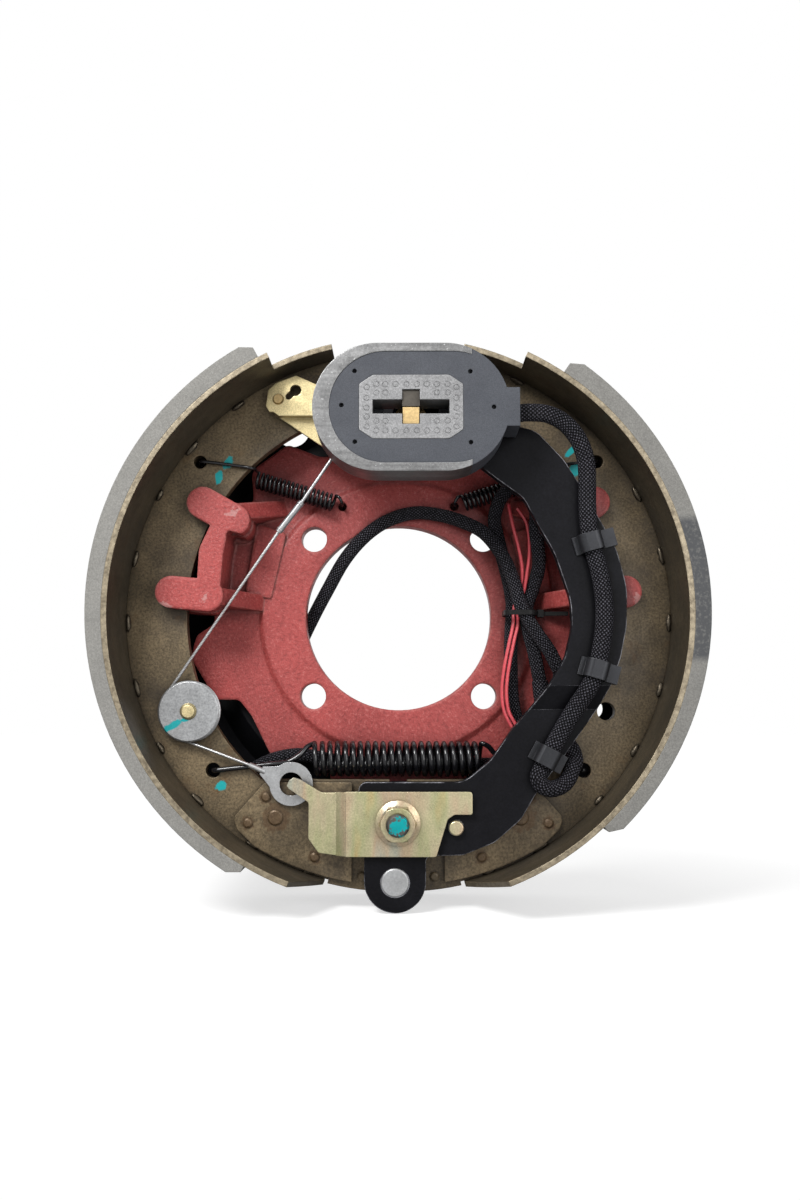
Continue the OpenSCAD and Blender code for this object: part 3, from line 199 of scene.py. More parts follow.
# Settings a user may change
class BrakePaint(PropertyGroup):
    """Colours of the brake's paints and platings"""
    spider: FloatVectorProperty(name="Casting paint", description="Red paint of the cast spider",
                                default=(0.34, 0.056, 0.052), size=3, subtype="COLOR", min=0, max=1)
    black: FloatVectorProperty(name="Black paint", description="Satin black of arm, shield and springs",
                               default=(0.0055, 0.0055, 0.0068), size=3, subtype="COLOR", min=0, max=1)
    shoe: FloatVectorProperty(name="Shoe lacquer", description="Bronze lacquer over the shoes' steel",
                              default=(0.145, 0.108, 0.062), size=3, subtype="COLOR", min=0, max=1)
    lining: FloatVectorProperty(name="Lining", description="Moulded friction lining",
                                default=(0.215, 0.21, 0.196), size=3, subtype="COLOR", min=0, max=1)
    zinc: FloatVectorProperty(name="Yellow zinc", description="Yellow zinc of the guide plate and screw",
                              default=(0.5, 0.43, 0.27), size=3, subtype="COLOR", min=0, max=1)
    wire: FloatVectorProperty(name="Wire insulation", description="Red insulation of the spare wires",
                              default=(0.55, 0.06, 0.075), size=3, subtype="COLOR", min=0, max=1)


class BrakeSprings(PropertyGroup):
    """Sizes of the coil springs"""
    big_turns: IntProperty(name="Adjuster spring turns", description="Turns of the spring over the anchor",
                           default=22, min=12, max=30)
    big_wire: FloatProperty(name="Adjuster spring wire", description="Wire diameter of the big spring",
                            default=0.0027, unit="LENGTH", min=0.001, max=0.004)
    small_turns: IntProperty(name="Retractor turns", description="Turns of each retractor spring",
                             default=18, min=10, max=24)
    small_wire: FloatProperty(name="Retractor wire", description="Wire diameter of the retractor springs",
                              default=0.0017, unit="LENGTH", min=0.0008, max=0.002)


class BrakeLead(PropertyGroup):
    """Sizes of the sleeved lead"""
    width: FloatProperty(name="Sleeve on the arm", description="Width of the sleeve along the arm",
                         default=0.0092, unit="LENGTH", min=0.006, max=0.012)
    strand: FloatProperty(name="Sleeve in the bundle", description="Width of the sleeve in the tied bundle",
                          default=0.0074, unit="LENGTH", min=0.005, max=0.01)


class BrakeLight(PropertyGroup):
    """Studio light and camera"""
    lens: FloatProperty(name="Lens", description="Focal length for a 36 mm sensor", default=32.85,
                        unit="CAMERA", min=10, max=200)
    key: FloatProperty(name="Key light", description="Power of the lamp above on the left", default=15.0,
                       unit="POWER", min=0, max=100)
    fill: FloatProperty(name="Fill light", description="Power of the lamp beside the camera", default=4.0,
                        unit="POWER", min=0, max=100)


# Shader helpers
def socket_value(node, values):
    """Sets a node's sockets, by name or number, to values or to links from other nodes."""
    for name, value in values.items():
        if isinstance(value, bpy.types.NodeSocket):
            node.id_data.links.new(value, node.inputs[name])
        else:
            node.inputs[name].default_value = value


def add(tree, kind, settings=None, **values):
    """A shader node with its settings and its sockets' values or links; i0 is its first socket."""
    node = tree.nodes.new(kind)
    for name, value in (settings or {}).items():
        setattr(node, name, value)
    for name, value in values.items():
        key = int(name[1:]) if name[0] == "i" and name[1:].isdigit() else name.replace("_", " ")
        socket_value(node, {key: value})
    return node


def rgba(colour):
    """The colour's first three values, made opaque."""
    return (colour[0], colour[1], colour[2], 1.0)


def shade(colour, factor):
    """The same colour, darker or lighter."""
    return rgba([min(1.0, c * factor) for c in colour])


def ramp(tree, fac, stops):
    """A colour ramp from (place, grey or colour) pairs."""
    node = add(tree, "ShaderNodeValToRGB", i0=fac)
    band = node.color_ramp
    while len(band.elements) < len(stops):
        band.elements.new(0.5)
    for element, (at, value) in zip(band.elements, stops):
        element.position = at
        element.color = rgba(value) if hasattr(value, "__len__") else (value, value, value, 1)
    return node.outputs[0]


def own_coords(tree):
    """The piece's own coordinates, which are the frame's, in metres."""
    return add(tree, "ShaderNodeTexCoord").outputs["Object"]


def true_normal(tree):
    return add(tree, "ShaderNodeNewGeometry").outputs["True Normal"]


def noise(tree, scale, detail, rough, stretch=None, shift=0.0):
    """Noise over the piece's own coordinates, in features per metre."""
    coords = own_coords(tree)
    if stretch or shift:
        coords = add(tree, "ShaderNodeMapping", i0=coords, Location=(shift, shift, shift),
                     Scale=stretch or (1, 1, 1)).outputs[0]
    made = add(tree, "ShaderNodeTexNoise", Vector=coords, Scale=scale, Detail=detail, Roughness=rough)
    return made.outputs[0]


def mix(tree, fac, a, b, mode="MIX"):
    node = add(tree, "ShaderNodeMix", {"data_type": "RGBA", "blend_type": mode})
    socket_value(node, {0: fac, 6: a, 7: b})
    return node.outputs[2]


def math_node(tree, operation, a, b=0.0, clamp=False):
    return add(tree, "ShaderNodeMath", {"operation": operation, "use_clamp": clamp}, i0=a, i1=b).outputs[0]


def times(tree, a, b, clamp=False):
    return math_node(tree, "MULTIPLY", a, b, clamp)


def measure(tree, operation, a, b=(0, 0, 0)):
    """A number from one or two vectors."""
    return add(tree, "ShaderNodeVectorMath", {"operation": operation}, i0=a, i1=b).outputs["Value"]


def spread(tree, value, low, high, made_low=0.0, made_high=1.0):
    """The range from low to high, spread over another range."""
    return add(tree, "ShaderNodeMapRange", Value=value, From_Min=low, From_Max=high, To_Min=made_low,
               To_Max=made_high).outputs[0]


def new_material(name):
    """A material, its node tree and its Principled shader."""
    material = bpy.data.materials.new(name)
    material.use_nodes = True
    tree = material.node_tree
    return material, tree, tree.nodes["Principled BSDF"]


def group_tree(name, inputs, outputs):
    """An empty node group with named sockets."""
    tree = bpy.data.node_groups.new(name, "ShaderNodeTree")
    kinds = {"value": "NodeSocketFloat", "colour": "NodeSocketColor", "vector": "NodeSocketVector"}
    for label, kind, default in inputs:
        made = tree.interface.new_socket(label, in_out="INPUT", socket_type=kinds[kind])
        made.default_value = default
    for label, kind in outputs:
        tree.interface.new_socket(label, in_out="OUTPUT", socket_type=kinds[kind])
    return tree, tree.nodes.new("NodeGroupInput"), tree.nodes.new("NodeGroupOutput")


def mottle_group():
    """Two colours that change into each other in patches, with fine specks over them."""
    tree, given, made = group_tree("Mottled colour", [
        ("Colour", "colour", (0.5, 0.5, 0.5, 1)), ("Patch colour", "colour", (0.3, 0.3, 0.3, 1)),
        ("Patch scale", "value", 40.0), ("Patch amount", "value", 0.5), ("Speck scale", "value", 900.0),
        ("Speck amount", "value", 0.2)], [("Colour", "colour")])
    patches = noise(tree, given.outputs["Patch scale"], 5.0, 0.6)
    mask = ramp(tree, patches, [(0.4, 0.0), (0.66, 1.0)])
    share = times(tree, mask, given.outputs["Patch amount"], True)
    tone = mix(tree, share, given.outputs["Colour"], given.outputs["Patch colour"])
    specks = ramp(tree, noise(tree, given.outputs["Speck scale"], 2.0, 0.7), [(0.35, 0.0), (0.7, 1.0)])
    bright = mix(tree, specks, (0.5, 0.5, 0.5, 1), (1.6, 1.6, 1.6, 1))
    spotted = mix(tree, given.outputs["Speck amount"], tone, mix(tree, 1.0, tone, bright, "MULTIPLY"))
    tree.links.new(spotted, made.inputs["Colour"])
    return tree


def edge_wear_and_highlight_group():
    """A mask of corners, from the difference between a rounded and the true normal; its lighter colour
    stands for wear and, where bright as on the arm, a painted highlight.
    """
    tree, given, made = group_tree("Worn and highlit corners", [
        ("Radius", "value", 0.0008), ("Amount", "value", 0.6), ("Patch scale", "value", 90.0)],
        [("Mask", "value"), ("Normal", "vector")])
    bevel = add(tree, "ShaderNodeBevel", {"samples": 6}, Radius=given.outputs["Radius"])
    same = measure(tree, "DOT_PRODUCT", bevel.outputs[0], true_normal(tree))
    away = ramp(tree, math_node(tree, "SUBTRACT", 1.0, same), [(0.02, 0.0), (0.16, 1.0)])
    broken = ramp(tree, noise(tree, given.outputs["Patch scale"], 5.0, 0.65), [(0.42, 0.0), (0.62, 1.0)])
    worn = times(tree, away, broken, True)
    tree.links.new(times(tree, worn, given.outputs["Amount"], True), made.inputs["Mask"])
    tree.links.new(bevel.outputs[0], made.inputs["Normal"])
    return tree


def corner_shade_group():
    """A mask of corners and gaps that light hardly reaches, for painted shade."""
    tree, given, made = group_tree("Painted corner shade", [("Reach", "value", 0.008), ("Amount", "value", 0.6)],
                                   [("Mask", "value")])
    sky = add(tree, "ShaderNodeAmbientOcclusion", {"samples": 4}, Distance=given.outputs["Reach"])
    shaded = ramp(tree, sky.outputs["AO"], [(0.3, 1.0), (0.92, 0.0)])
    tree.links.new(times(tree, shaded, given.outputs["Amount"], True), made.inputs["Mask"])
    return tree


def grain_group():
    """Height of a fine surface grain over a slower waviness."""
    tree, given, made = group_tree("Surface grain", [
        ("Grain scale", "value", 1500.0), ("Wave scale", "value", 60.0), ("Wave share", "value", 0.3)],
        [("Height", "value")])
    fine = noise(tree, given.outputs["Grain scale"], 3.0, 0.6)
    slow = noise(tree, given.outputs["Wave scale"], 3.0, 0.5)
    height = add(tree, "ShaderNodeMix", {"data_type": "FLOAT"}, i0=given.outputs["Wave share"])
    tree.links.new(fine, height.inputs[2])
    tree.links.new(slow, height.inputs[3])
    tree.links.new(height.outputs[0], made.inputs["Height"])
    return tree


EFFECTS = {"mottle": mottle_group, "edge": edge_wear_and_highlight_group, "corner_shade": corner_shade_group, "grain": grain_group}
GROUPS = {}


def group(tree, name, **values):
    """One of the shared effects, placed in a material with its own values."""
    if name not in GROUPS:
        GROUPS[name] = EFFECTS[name]()
    node = tree.nodes.new("ShaderNodeGroup")
    node.node_tree = GROUPS[name]
    socket_value(node, {key.replace("_", " "): value for key, value in values.items()})
    return node


def finish_material(name, colour, patch, rough, metallic=0.0, patch_scale=40.0, patch_amount=0.5,
                    speck_scale=900.0, speck_amount=0.2, worn=None, edge_wear_and_highlight=0.6, radius=0.0006,
                    bump=0.1, bump_depth=0.0002, grain=1500.0, wave=60.0, wave_share=0.3, extra=(),
                    spec=0.5, corner_shade_amount=0.55, reach=0.008):
    """A painted, plated or moulded surface: mottled, dressed by the extra steps, darkened in hollows as
    painted shade, lighter on corners for wear and painted highlight, and grainy.
    """
    material, tree, shader = new_material(name)
    tone = group(tree, "mottle", Colour=rgba(colour), Patch_colour=rgba(patch), Patch_scale=patch_scale,
                 Patch_amount=patch_amount, Speck_scale=speck_scale, Speck_amount=speck_amount)
    corners = group(tree, "edge", Radius=radius, Amount=edge_wear_and_highlight)
    base = tone.outputs["Colour"]
    for step in extra:
        base = step(tree, base)
    # Painted shade: corners and gaps that light hardly reaches are darkened towards a dark copy of the
    # colour
    shaded = group(tree, "corner_shade", Amount=corner_shade_amount, Reach=reach)
    base = mix(tree, shaded.outputs[0], base, shade(colour, 0.16))
    # Corners take the worn colour: wear, and on bright settings a painted highlight
    if worn:
        base = mix(tree, corners.outputs["Mask"], base, rgba(worn))
    tree.links.new(base, shader.inputs["Base Color"])
    uneven = spread(tree, noise(tree, patch_scale * 3, 4.0, 0.6, shift=3.0), 0.3, 0.7, *rough)
    tree.links.new(uneven, shader.inputs["Roughness"])
    shader.inputs["Metallic"].default_value = metallic
    shader.inputs["Specular IOR Level"].default_value = spec
    height = group(tree, "grain", Grain_scale=grain, Wave_scale=wave, Wave_share=wave_share)
    lumps = add(tree, "ShaderNodeBump", Strength=bump, Distance=bump_depth, Height=height.outputs[0],
                Normal=corners.outputs["Normal"])
    tree.links.new(lumps.outputs[0], shader.inputs["Normal"])
    return material


# Finishes of this brake
def blotch(tree, x, z, across, up, turn=0.0, ragged=0.7):
    """A ragged oval mask in the front view, about a place in millimetres and at any depth."""
    all_depths = 1000.0
    local = add(tree, "ShaderNodeMapping", {"vector_type": "TEXTURE"}, i0=own_coords(tree),
                Location=(x * MM, 0, z * MM), Rotation=(0, math.radians(-turn), 0),
                Scale=(across * MM, all_depths, up * MM))
    wobble = math_node(tree, "SUBTRACT", noise(tree, 330.0, 4.0, 0.7), 0.5)
    far = math_node(tree, "ADD", measure(tree, "LENGTH", local.outputs[0]), times(tree, wobble, ragged * 2))
    return spread(tree, far, 0.85, 1.1, 1.0, 0.0)


def front_mask(tree):
    """1 where a face looks at the drum side."""
    toward = measure(tree, "DOT_PRODUCT", true_normal(tree), (0, -1, 0))
    return ramp(tree, toward, [(0.35, 0.0), (0.7, 1.0)])


def daubed(marks):
    """A step that puts strokes of teal inspection paint on a surface."""
    def step(tree, base):
        seen = times(tree, front_mask(tree), 0.92)
        for mark in marks:
            base = mix(tree, times(tree, blotch(tree, *mark), seen), base, TEAL)
        return base
    return step


def stains(tree, base):
    """Dark heat and oil stains on the shoes' lacquer."""
    oil, brown = (0.03, 0.024, 0.02, 1), (0.13, 0.065, 0.022, 1)
    patches = ramp(tree, noise(tree, 22.0, 6.0, 0.62, shift=1.7), [(0.48, 0.0), (0.7, 1.0)])
    burnt = ramp(tree, noise(tree, 55.0, 5.0, 0.6, shift=4.3), [(0.6, 0.0), (0.74, 1.0)])
    base = mix(tree, times(tree, patches, 0.8), base, oil)
    return mix(tree, times(tree, burnt, 0.45), base, brown)


def shaded_inside(tree, base):
    """The rolled table's inside is painted dark as shade, and its front edge is sheared bright."""
    inside_shade, dull, bright = (0.026, 0.025, 0.021, 1), (0.13, 0.105, 0.07), (0.31, 0.26, 0.18)
    scuffs = ramp(tree, noise(tree, 420.0, 4.0, 0.65), [(0.34, dull), (0.66, bright)])
    return mix(tree, front_mask(tree), mix(tree, 0.65, base, inside_shade), scuffs)


def rusted(spots):
    """A step that puts ragged spots of rust round what is pressed through a sheet, on both sides."""
    def step(tree, base):
        for x, z, across in spots:
            for side in (-1, 1):
                spot = blotch(tree, side * x, z, across, across, ragged=0.9)
                base = mix(tree, times(tree, spot, 0.55), base, RUST)
        return base
    return step


def pitted(tree, base):
    """Dark pits and paler high spots of a sand-cast surface under its paint."""
    dark, pale = (0.07, 0.01, 0.01, 1), (0.6, 0.22, 0.2, 1)
    grain = noise(tree, 640.0, 3.0, 0.75)
    pits = ramp(tree, grain, [(0.36, 1.0), (0.47, 0.0)])
    highs = ramp(tree, grain, [(0.55, 0.0), (0.7, 1.0)])
    base = mix(tree, times(tree, pits, 0.36), base, dark)
    return mix(tree, times(tree, highs, 0.34), base, pale)


def scraped(marks):
    """A step that rubs the paint pale in ragged spots."""
    rubbed = (0.46, 0.3, 0.28, 1)

    def step(tree, base):
        for mark in marks:
            base = mix(tree, times(tree, blotch(tree, *mark, ragged=2.6), 0.42), base, rubbed)
        return base
    return step


def twisted(tree, base):
    """Dark lines between the strands of a wire rope."""
    gap = (0.08, 0.08, 0.085, 1)
    turned = add(tree, "ShaderNodeMapping", i0=own_coords(tree), Rotation=(0, math.radians(28), 0))
    bands = add(tree, "ShaderNodeTexWave", {"bands_direction": "Z"}, Vector=turned.outputs[0], Scale=300.0)
    return mix(tree, ramp(tree, bands.outputs["Fac"], [(0.1, 0.5), (0.5, 0.0)]), base, gap)


def rainbow(tree, base):
    """The pink, green and blue bands of yellow passivated zinc."""
    bands = noise(tree, 62.0, 3.0, 0.5, stretch=(1.0, 1.0, 0.22), shift=5.1)
    gold, green, straw = (0.6, 0.42, 0.14), (0.4, 0.45, 0.22), (0.55, 0.5, 0.32)
    pink, blue = (0.56, 0.38, 0.27), (0.36, 0.42, 0.4)
    tints = ramp(tree, bands, [(0.3, gold), (0.4, green), (0.48, straw), (0.56, pink), (0.66, blue)])
    return mix(tree, 0.5, base, tints)


def brushed(tree, base):
    """Straight marks of grinding across the magnet's face, with bright nicks."""
    bare = (0.7, 0.7, 0.7, 1)
    marks = ramp(tree, noise(tree, 420.0, 3.0, 0.6, stretch=(0.06, 1.0, 1.0)), [(0.3, 0.55), (0.7, 1.35)])
    nicks = ramp(tree, noise(tree, 900.0, 2.0, 0.6, shift=2.0), [(0.66, 0.0), (0.74, 1.0)])
    base = mix(tree, 0.6, base, mix(tree, 1.0, base, marks, "MULTIPLY"))
    return mix(tree, times(tree, nicks, 0.5), base, bare)


def printed_band(tree, base):
    """The dark painted band on the edge of the primary lining."""
    ink = (0.062, 0.064, 0.068, 1)
    # A ramp reads from 0 to 1, so the height is lifted by half a metre
    lift, fade = 0.5, 0.002
    low, high = lift + BAND_LOW * MM, lift + BAND_HIGH * MM
    parts = add(tree, "ShaderNodeSeparateXYZ", i0=own_coords(tree))
    height = math_node(tree, "ADD", parts.outputs[2], lift)
    over = ramp(tree, height, [(low, 0.0), (low + fade, 1.0)])
    under = ramp(tree, height, [(high - fade, 1.0), (high, 0.0)])
    worn = ramp(tree, noise(tree, 500.0, 4.0, 0.7), [(0.3, 0.35), (0.5, 0.95)])
    band = times(tree, times(tree, over, under), worn)
    return mix(tree, times(tree, band, front_mask(tree)), base, ink)


def metal(name, colour, rough, **more):
    """Plated or bare metal, with darker patches of its own colour."""
    settings = {"metallic": 0.85, "patch_scale": 60, "worn": shade(colour, 1.7)}
    settings.update(more)
    return finish_material(name, colour, shade(colour, 0.66), rough, **settings)


def build_finishes(paint):
    """All the brake's materials, by the record's slot or a key of their own."""
    black = tuple(paint.black)
    shoe = tuple(paint.shoe)
    zinc = tuple(paint.zinc)
    # The shoes' lacquer is given strong painted shade in its corners
    lacquer = {"metallic": 0.35, "patch_scale": 30, "patch_amount": 0.75, "speck_scale": 800,
               "speck_amount": 0.75, "worn": (0.26, 0.2, 0.12), "radius": 0.0007, "bump": 0.5, "grain": 900,
               "spec": 0.4, "corner_shade_amount": 0.85, "reach": 0.006}
    friction = {"patch_scale": 60, "speck_scale": 1500, "speck_amount": 0.35, "worn": (0.3, 0.295, 0.28),
                "radius": 0.0008, "bump": 0.4, "grain": 1500, "bump_depth": 0.0003, "spec": 0.2}
    rough_shoe = (0.34, 0.52)
    dull_shoe = shade(shoe, 0.45)
    return {
        # The casting is given strong painted shade in its corners and recesses
        "spider_paint": finish_material(
            "Casting red", paint.spider, shade(paint.spider, 0.62), (0.36, 0.55), patch_scale=26,
            patch_amount=0.6, speck_scale=1300, speck_amount=0.3, worn=(0.5, 0.22, 0.19), edge_wear_and_highlight=0.4,
            radius=0.0026, bump=0.9, bump_depth=0.0005, grain=640, wave=150, wave_share=0.25, corner_shade_amount=0.8,
            reach=0.012, spec=0.35, extra=(pitted, scraped(SCRAPES))),
        "shield_paint": finish_material(
            "Shield black", black, shade(black, 1.7), (0.45, 0.62), worn=(0.05, 0.05, 0.05), bump=0.2,
            spec=0.08),
        # The arm's light grey corners are wear and a painted highlight along its edges
        "arm_paint": finish_material(
            "Arm black", black, shade(black, 1.8), (0.3, 0.46), speck_amount=0.4, worn=(0.46, 0.46, 0.5),
            edge_wear_and_highlight=1.0, radius=0.0009, bump=0.12, grain=1900, spec=0.07),
        "spring_paint": finish_material(
            "Spring black", black, shade(black, 1.6), (0.12, 0.22), bump=0.05, radius=0.0002),
        "shoe_steel": finish_material(
            "End plate lacquer", shade(shoe, 1.25), dull_shoe, rough_shoe,
            extra=(stains, rusted(RUST_SPOTS)), **lacquer),
        # The secondary web is a lighter and the primary web a darker copy of the lacquer, as painted light
        # and painted shade
        "lit_left_web": finish_material(
            "Secondary web lit", shade(shoe, 1.14), dull_shoe, rough_shoe,
            extra=(stains, daubed(TEAL_LEFT_WEB)), **lacquer),
        "shaded_right_web": finish_material(
            "Primary web shaded", shade(shoe, 0.8), dull_shoe, rough_shoe,
            extra=(stains, daubed(TEAL_RIGHT_WEB)), **lacquer),
        # The tables' insides are painted dark as shade
        "table": finish_material(
            "Shoe table", shoe, dull_shoe, rough_shoe, extra=(stains, shaded_inside), **lacquer),
        "lining": finish_material(
            "Friction lining", paint.lining, shade(paint.lining, 0.8), (0.8, 0.95), **friction),
        "printed_lining": finish_material(
            "Primary lining", shade(paint.lining, 0.86), shade(paint.lining, 0.7), (0.8, 0.95),
            extra=(printed_band,), **friction),
        "plain_steel": metal("Ground steel", (0.42, 0.425, 0.43), (0.34, 0.5), patch_scale=45, bump=0.12),
        "rim_steel": metal("Brushed rim", (0.2, 0.2, 0.2), (0.3, 0.46), patch_scale=45, patch_amount=0.7,
                           speck_amount=0.35, worn=(0.6, 0.6, 0.6), bump=0.14, extra=(brushed,)),
        "dark_steel": metal("Oiled steel", (0.07, 0.062, 0.052), (0.32, 0.5), metallic=0.7, bump=0.2,
                            radius=0.0003),
        "clip_steel": metal("Clip steel", (0.03, 0.031, 0.035), (0.3, 0.42), metallic=0.5,
                            worn=(0.2, 0.2, 0.21), radius=0.0004, spec=0.3),
        "weld": metal("Weld metal", (0.085, 0.07, 0.05), (0.3, 0.5), bump=0.8, bump_depth=0.0005, grain=700,
                      radius=0.0002),
        "yellow_zinc": metal("Yellow zinc", zinc, (0.24, 0.4), speck_scale=1100, speck_amount=0.6,
                             worn=(0.62, 0.58, 0.42), bump=0.24, grain=1100, extra=(rainbow,)),
        # A lighter copy of the yellow zinc, as a painted highlight on the lever; the pulley's pin wears it
        # too
        "highlit_zinc": metal("Lever zinc highlit", (0.66, 0.55, 0.3), (0.26, 0.4), speck_scale=1500, speck_amount=0.4,
                           patch_amount=0.8, worn=(0.8, 0.74, 0.52), bump=0.14),
        "bright_zinc": metal("Bright zinc", (0.42, 0.425, 0.43), (0.24, 0.4), patch_scale=90, bump=0.15,
                             radius=0.0003),
        "rope": metal("Wire rope", (0.5, 0.5, 0.5), (0.3, 0.4), patch_scale=90, bump=0.15, radius=0.0003,
                      extra=(twisted,)),
        "pulley_zinc": metal("Pulley zinc", (0.36, 0.365, 0.37), (0.3, 0.46), patch_scale=90,
                             speck_amount=0.4, bump=0.15, radius=0.0004, extra=(daubed(TEAL_PULLEY),)),
        "anchor_steel": metal("Anchor steel", (0.11, 0.1, 0.09), (0.3, 0.5), radius=0.0003,
                              extra=(daubed(TEAL_ANCHOR),)),
        "coil_resin": finish_material(
            "Coil resin", (0.05, 0.054, 0.064), (0.036, 0.039, 0.048), (0.5, 0.68), patch_scale=50,
            speck_scale=2200, speck_amount=0.5, bump=0.25, grain=2400, spec=0.3),
        "pole_steel": metal("Sintered pole", (0.215, 0.215, 0.218), (0.42, 0.6), metallic=0.5,
                            patch_scale=70, speck_scale=1800, speck_amount=0.6, bump=0.35, grain=2000),
        "brass": metal("Brass", (0.5, 0.36, 0.17), (0.36, 0.5), patch_scale=120, speck_amount=0.3, bump=0.2,
                       radius=0.0003),
        "tie_nylon": finish_material(
            "Tie nylon", (0.008, 0.008, 0.008), (0.014, 0.014, 0.014), (0.3, 0.45), radius=0.0003,
            spec=0.1),
        "red_insulation": finish_material(
            "Red insulation", paint.wire, shade(paint.wire, 0.7), (0.26, 0.4), patch_scale=200, bump=0.08,
            worn=(0.7, 0.3, 0.3), radius=0.0002),
        "terminal": finish_material(
            "Crimp sleeve", (0.02, 0.09, 0.32), (0.015, 0.06, 0.22), (0.25, 0.4), patch_scale=200,
            bump=0.08, radius=0.0003),
        "sleeve": sleeve_material(),
    }


def sleeve_material():
    """Black braided sleeve: strands cross over and under in a diamond weave, along the tube's own map."""
    material, tree, shader = new_material("Braided sleeve")
    parts = add(tree, "ShaderNodeSeparateXYZ", i0=add(tree, "ShaderNodeUVMap").outputs[0])
    around, length = parts.outputs[0], parts.outputs[1]
    # Two sets of slanting strands; which one lies on top changes from cell to cell
    crown, cell = [], []
    for operation in ("ADD", "SUBTRACT"):
        run = math_node(tree, operation, around, length)
        cell.append(math_node(tree, "FLOOR", run))
        part = math_node(tree, "FRACT", run)
        crown.append(math_node(tree, "SINE", times(tree, part, math.pi)))
    turn = math_node(tree, "PINGPONG", math_node(tree, "ADD", cell[0], cell[1]), 1.0)
    woven = add(tree, "ShaderNodeMix", {"data_type": "FLOAT"}, i0=turn)
    socket_value(woven, {2: crown[0], 3: crown[1]})
    # The yarns get a painted highlight in the middle of each cell, and the holes between the cells are
    # black with painted shade
    gap_shade, yarn, yarn_highlight = (0.0012, 0.0012, 0.0018), (0.007, 0.007, 0.0095), (0.095, 0.092, 0.11)
    spots = times(tree, crown[0], crown[1])
    fibres = math_node(tree, "ADD", noise(tree, 900.0, 3.0, 0.7), 0.35)
    tint = ramp(tree, times(tree, spots, fibres), [(0.22, gap_shade), (0.55, yarn), (0.85, yarn_highlight)])
    tree.links.new(tint, shader.inputs["Base Color"])
    shader.inputs["Roughness"].default_value = 0.55
    shader.inputs["Specular IOR Level"].default_value = 0.13
    lumps = add(tree, "ShaderNodeBump", Strength=1.0, Distance=0.0004, Height=woven.outputs[0])
    tree.links.new(lumps.outputs[0], shader.inputs["Normal"])
    return material


FINISHES = {}


def finish(key):
    """One of the brake's materials; all of them are made when the first is asked for."""
    if not FINISHES:
        FINISHES.update(build_finishes(bpy.context.scene.brake_paint))
    return FINISHES[key]


# Solids whose finish differs from the others of their slot
OWN_LOOK = {"magnet_shell": "rim_steel", "adjuster_lever": "highlit_zinc", "lead_clips": "clip_steel",
            "secondary_web": "lit_left_web", "primary_web": "shaded_right_web", "primary_table": "table",
            "secondary_table": "table", "primary_lining": "printed_lining", "cable_pulley": "pulley_zinc",
            "anchor_post": "anchor_steel", "primary_rivets": "shoe_steel", "secondary_rivets": "shoe_steel",
            "adjuster_cable": "rope", "pulley_pin": "highlit_zinc"}


def wear(piece, slot, look=None):
    """Gives a piece one of the finishes: its own look, else the one for its slot in the record."""
    piece.data.materials.clear()
    piece.data.materials.append(finish(look or slot))
    return piece


# Mesh helpers
def new_piece(name, points, faces, slot, uv=None, look=None):
    """A smooth-shaded mesh object with its finish and, where given, the weave's map."""
    mesh = bpy.data.meshes.new(name)
    mesh.from_pydata([tuple(p) for p in points], [], faces)
    mesh.validate()
    mesh.polygons.foreach_set("use_smooth", [True] * len(mesh.polygons))
    if uv:
        layer = mesh.uv_layers.new(name="Tube")
        for loop, value in zip(layer.data, uv):
            loop.uv = value
    piece = bpy.data.objects.new(name, mesh)
    bpy.context.scene.collection.objects.link(piece)
    return wear(piece, slot, look)


def smooth_route(points, steps):
    """A round curve through given points."""
    made = []
    last = len(points) - 1
    for i in range(last):
        a, b, c, d = points[max(i - 1, 0)], points[i], points[i + 1], points[min(i + 2, last)]
        for k in range(steps):
            t = k / steps
            made.append(0.5 * (2 * b + (c - a) * t + (2 * a - 5 * b + 4 * c - d) * t * t
                               + (3 * b - 3 * c + d - a) * t * t * t))
    made.append(points[last])
    return made


def directions(path):
    """Unit vectors along the path at its points."""
    return [(path[min(i + 1, len(path) - 1)] - path[max(i - 1, 0)]).normalized() for i in range(len(path))]


def side_vectors(path):
    """Side directions that lie in the front view, as the solids' flattened sleeve has them."""
    made = []
    for t in directions(path):
        s = t.cross(Vector((0, 1, 0)))
        if s.length < 0.2:
            s = t.cross(Vector((0, 0, 1)))
        made.append(s.normalized())
    return made


def tube(name, path, across, deep, slot, sides):
    """A closed tube along a path; across and deep are half its width and half its height."""
    points, faces, uv, runs = [], [], [], []
    run = 0.0
    for i, (middle, along, out) in enumerate(zip(path, directions(path), side_vectors(path))):
        if i:
            run += (middle - path[i - 1]).length
        runs.append(run / (CELL_LENGTH * MM))
        up = out.cross(along).normalized()
        for k in range(sides):
            angle = 2 * math.pi * k / sides
            points.append(middle + out * (across * math.cos(angle)) + up * (deep * math.sin(angle)))
    for i in range(len(path) - 1):
        for k in range(sides):
            a, b = i * sides + k, i * sides + (k + 1) % sides
            faces.append((a, a + sides, b + sides, b))
            u0, u1 = CELLS_AROUND * k / sides, CELLS_AROUND * (k + 1) / sides
            uv += [(u0, runs[i]), (u0, runs[i + 1]), (u1, runs[i + 1]), (u1, runs[i])]
    for first, order in ((0, 1), ((len(path) - 1) * sides, -1)):
        faces.append(tuple(first + k for k in range(sides))[::order])
        uv += [(0.0, 0.0)] * sides
    return new_piece(name, points, faces, slot, uv=uv)


def helix(start, end, radius, turns, per_turn):
    """Points of a coil about the line from start to end; the first is on its upper side."""
    axis = (end - start).normalized()
    up = Vector((0, 0, 1))
    first = (up - axis * up.dot(axis)).normalized()
    second = axis.cross(first)
    total = turns * per_turn
    path = []
    for i in range(total + 1):
        angle = 2 * math.pi * i / per_turn
        out = first * math.cos(angle) + second * math.sin(angle)
        path.append(start + (end - start) * (i / total) + out * radius)
    return path


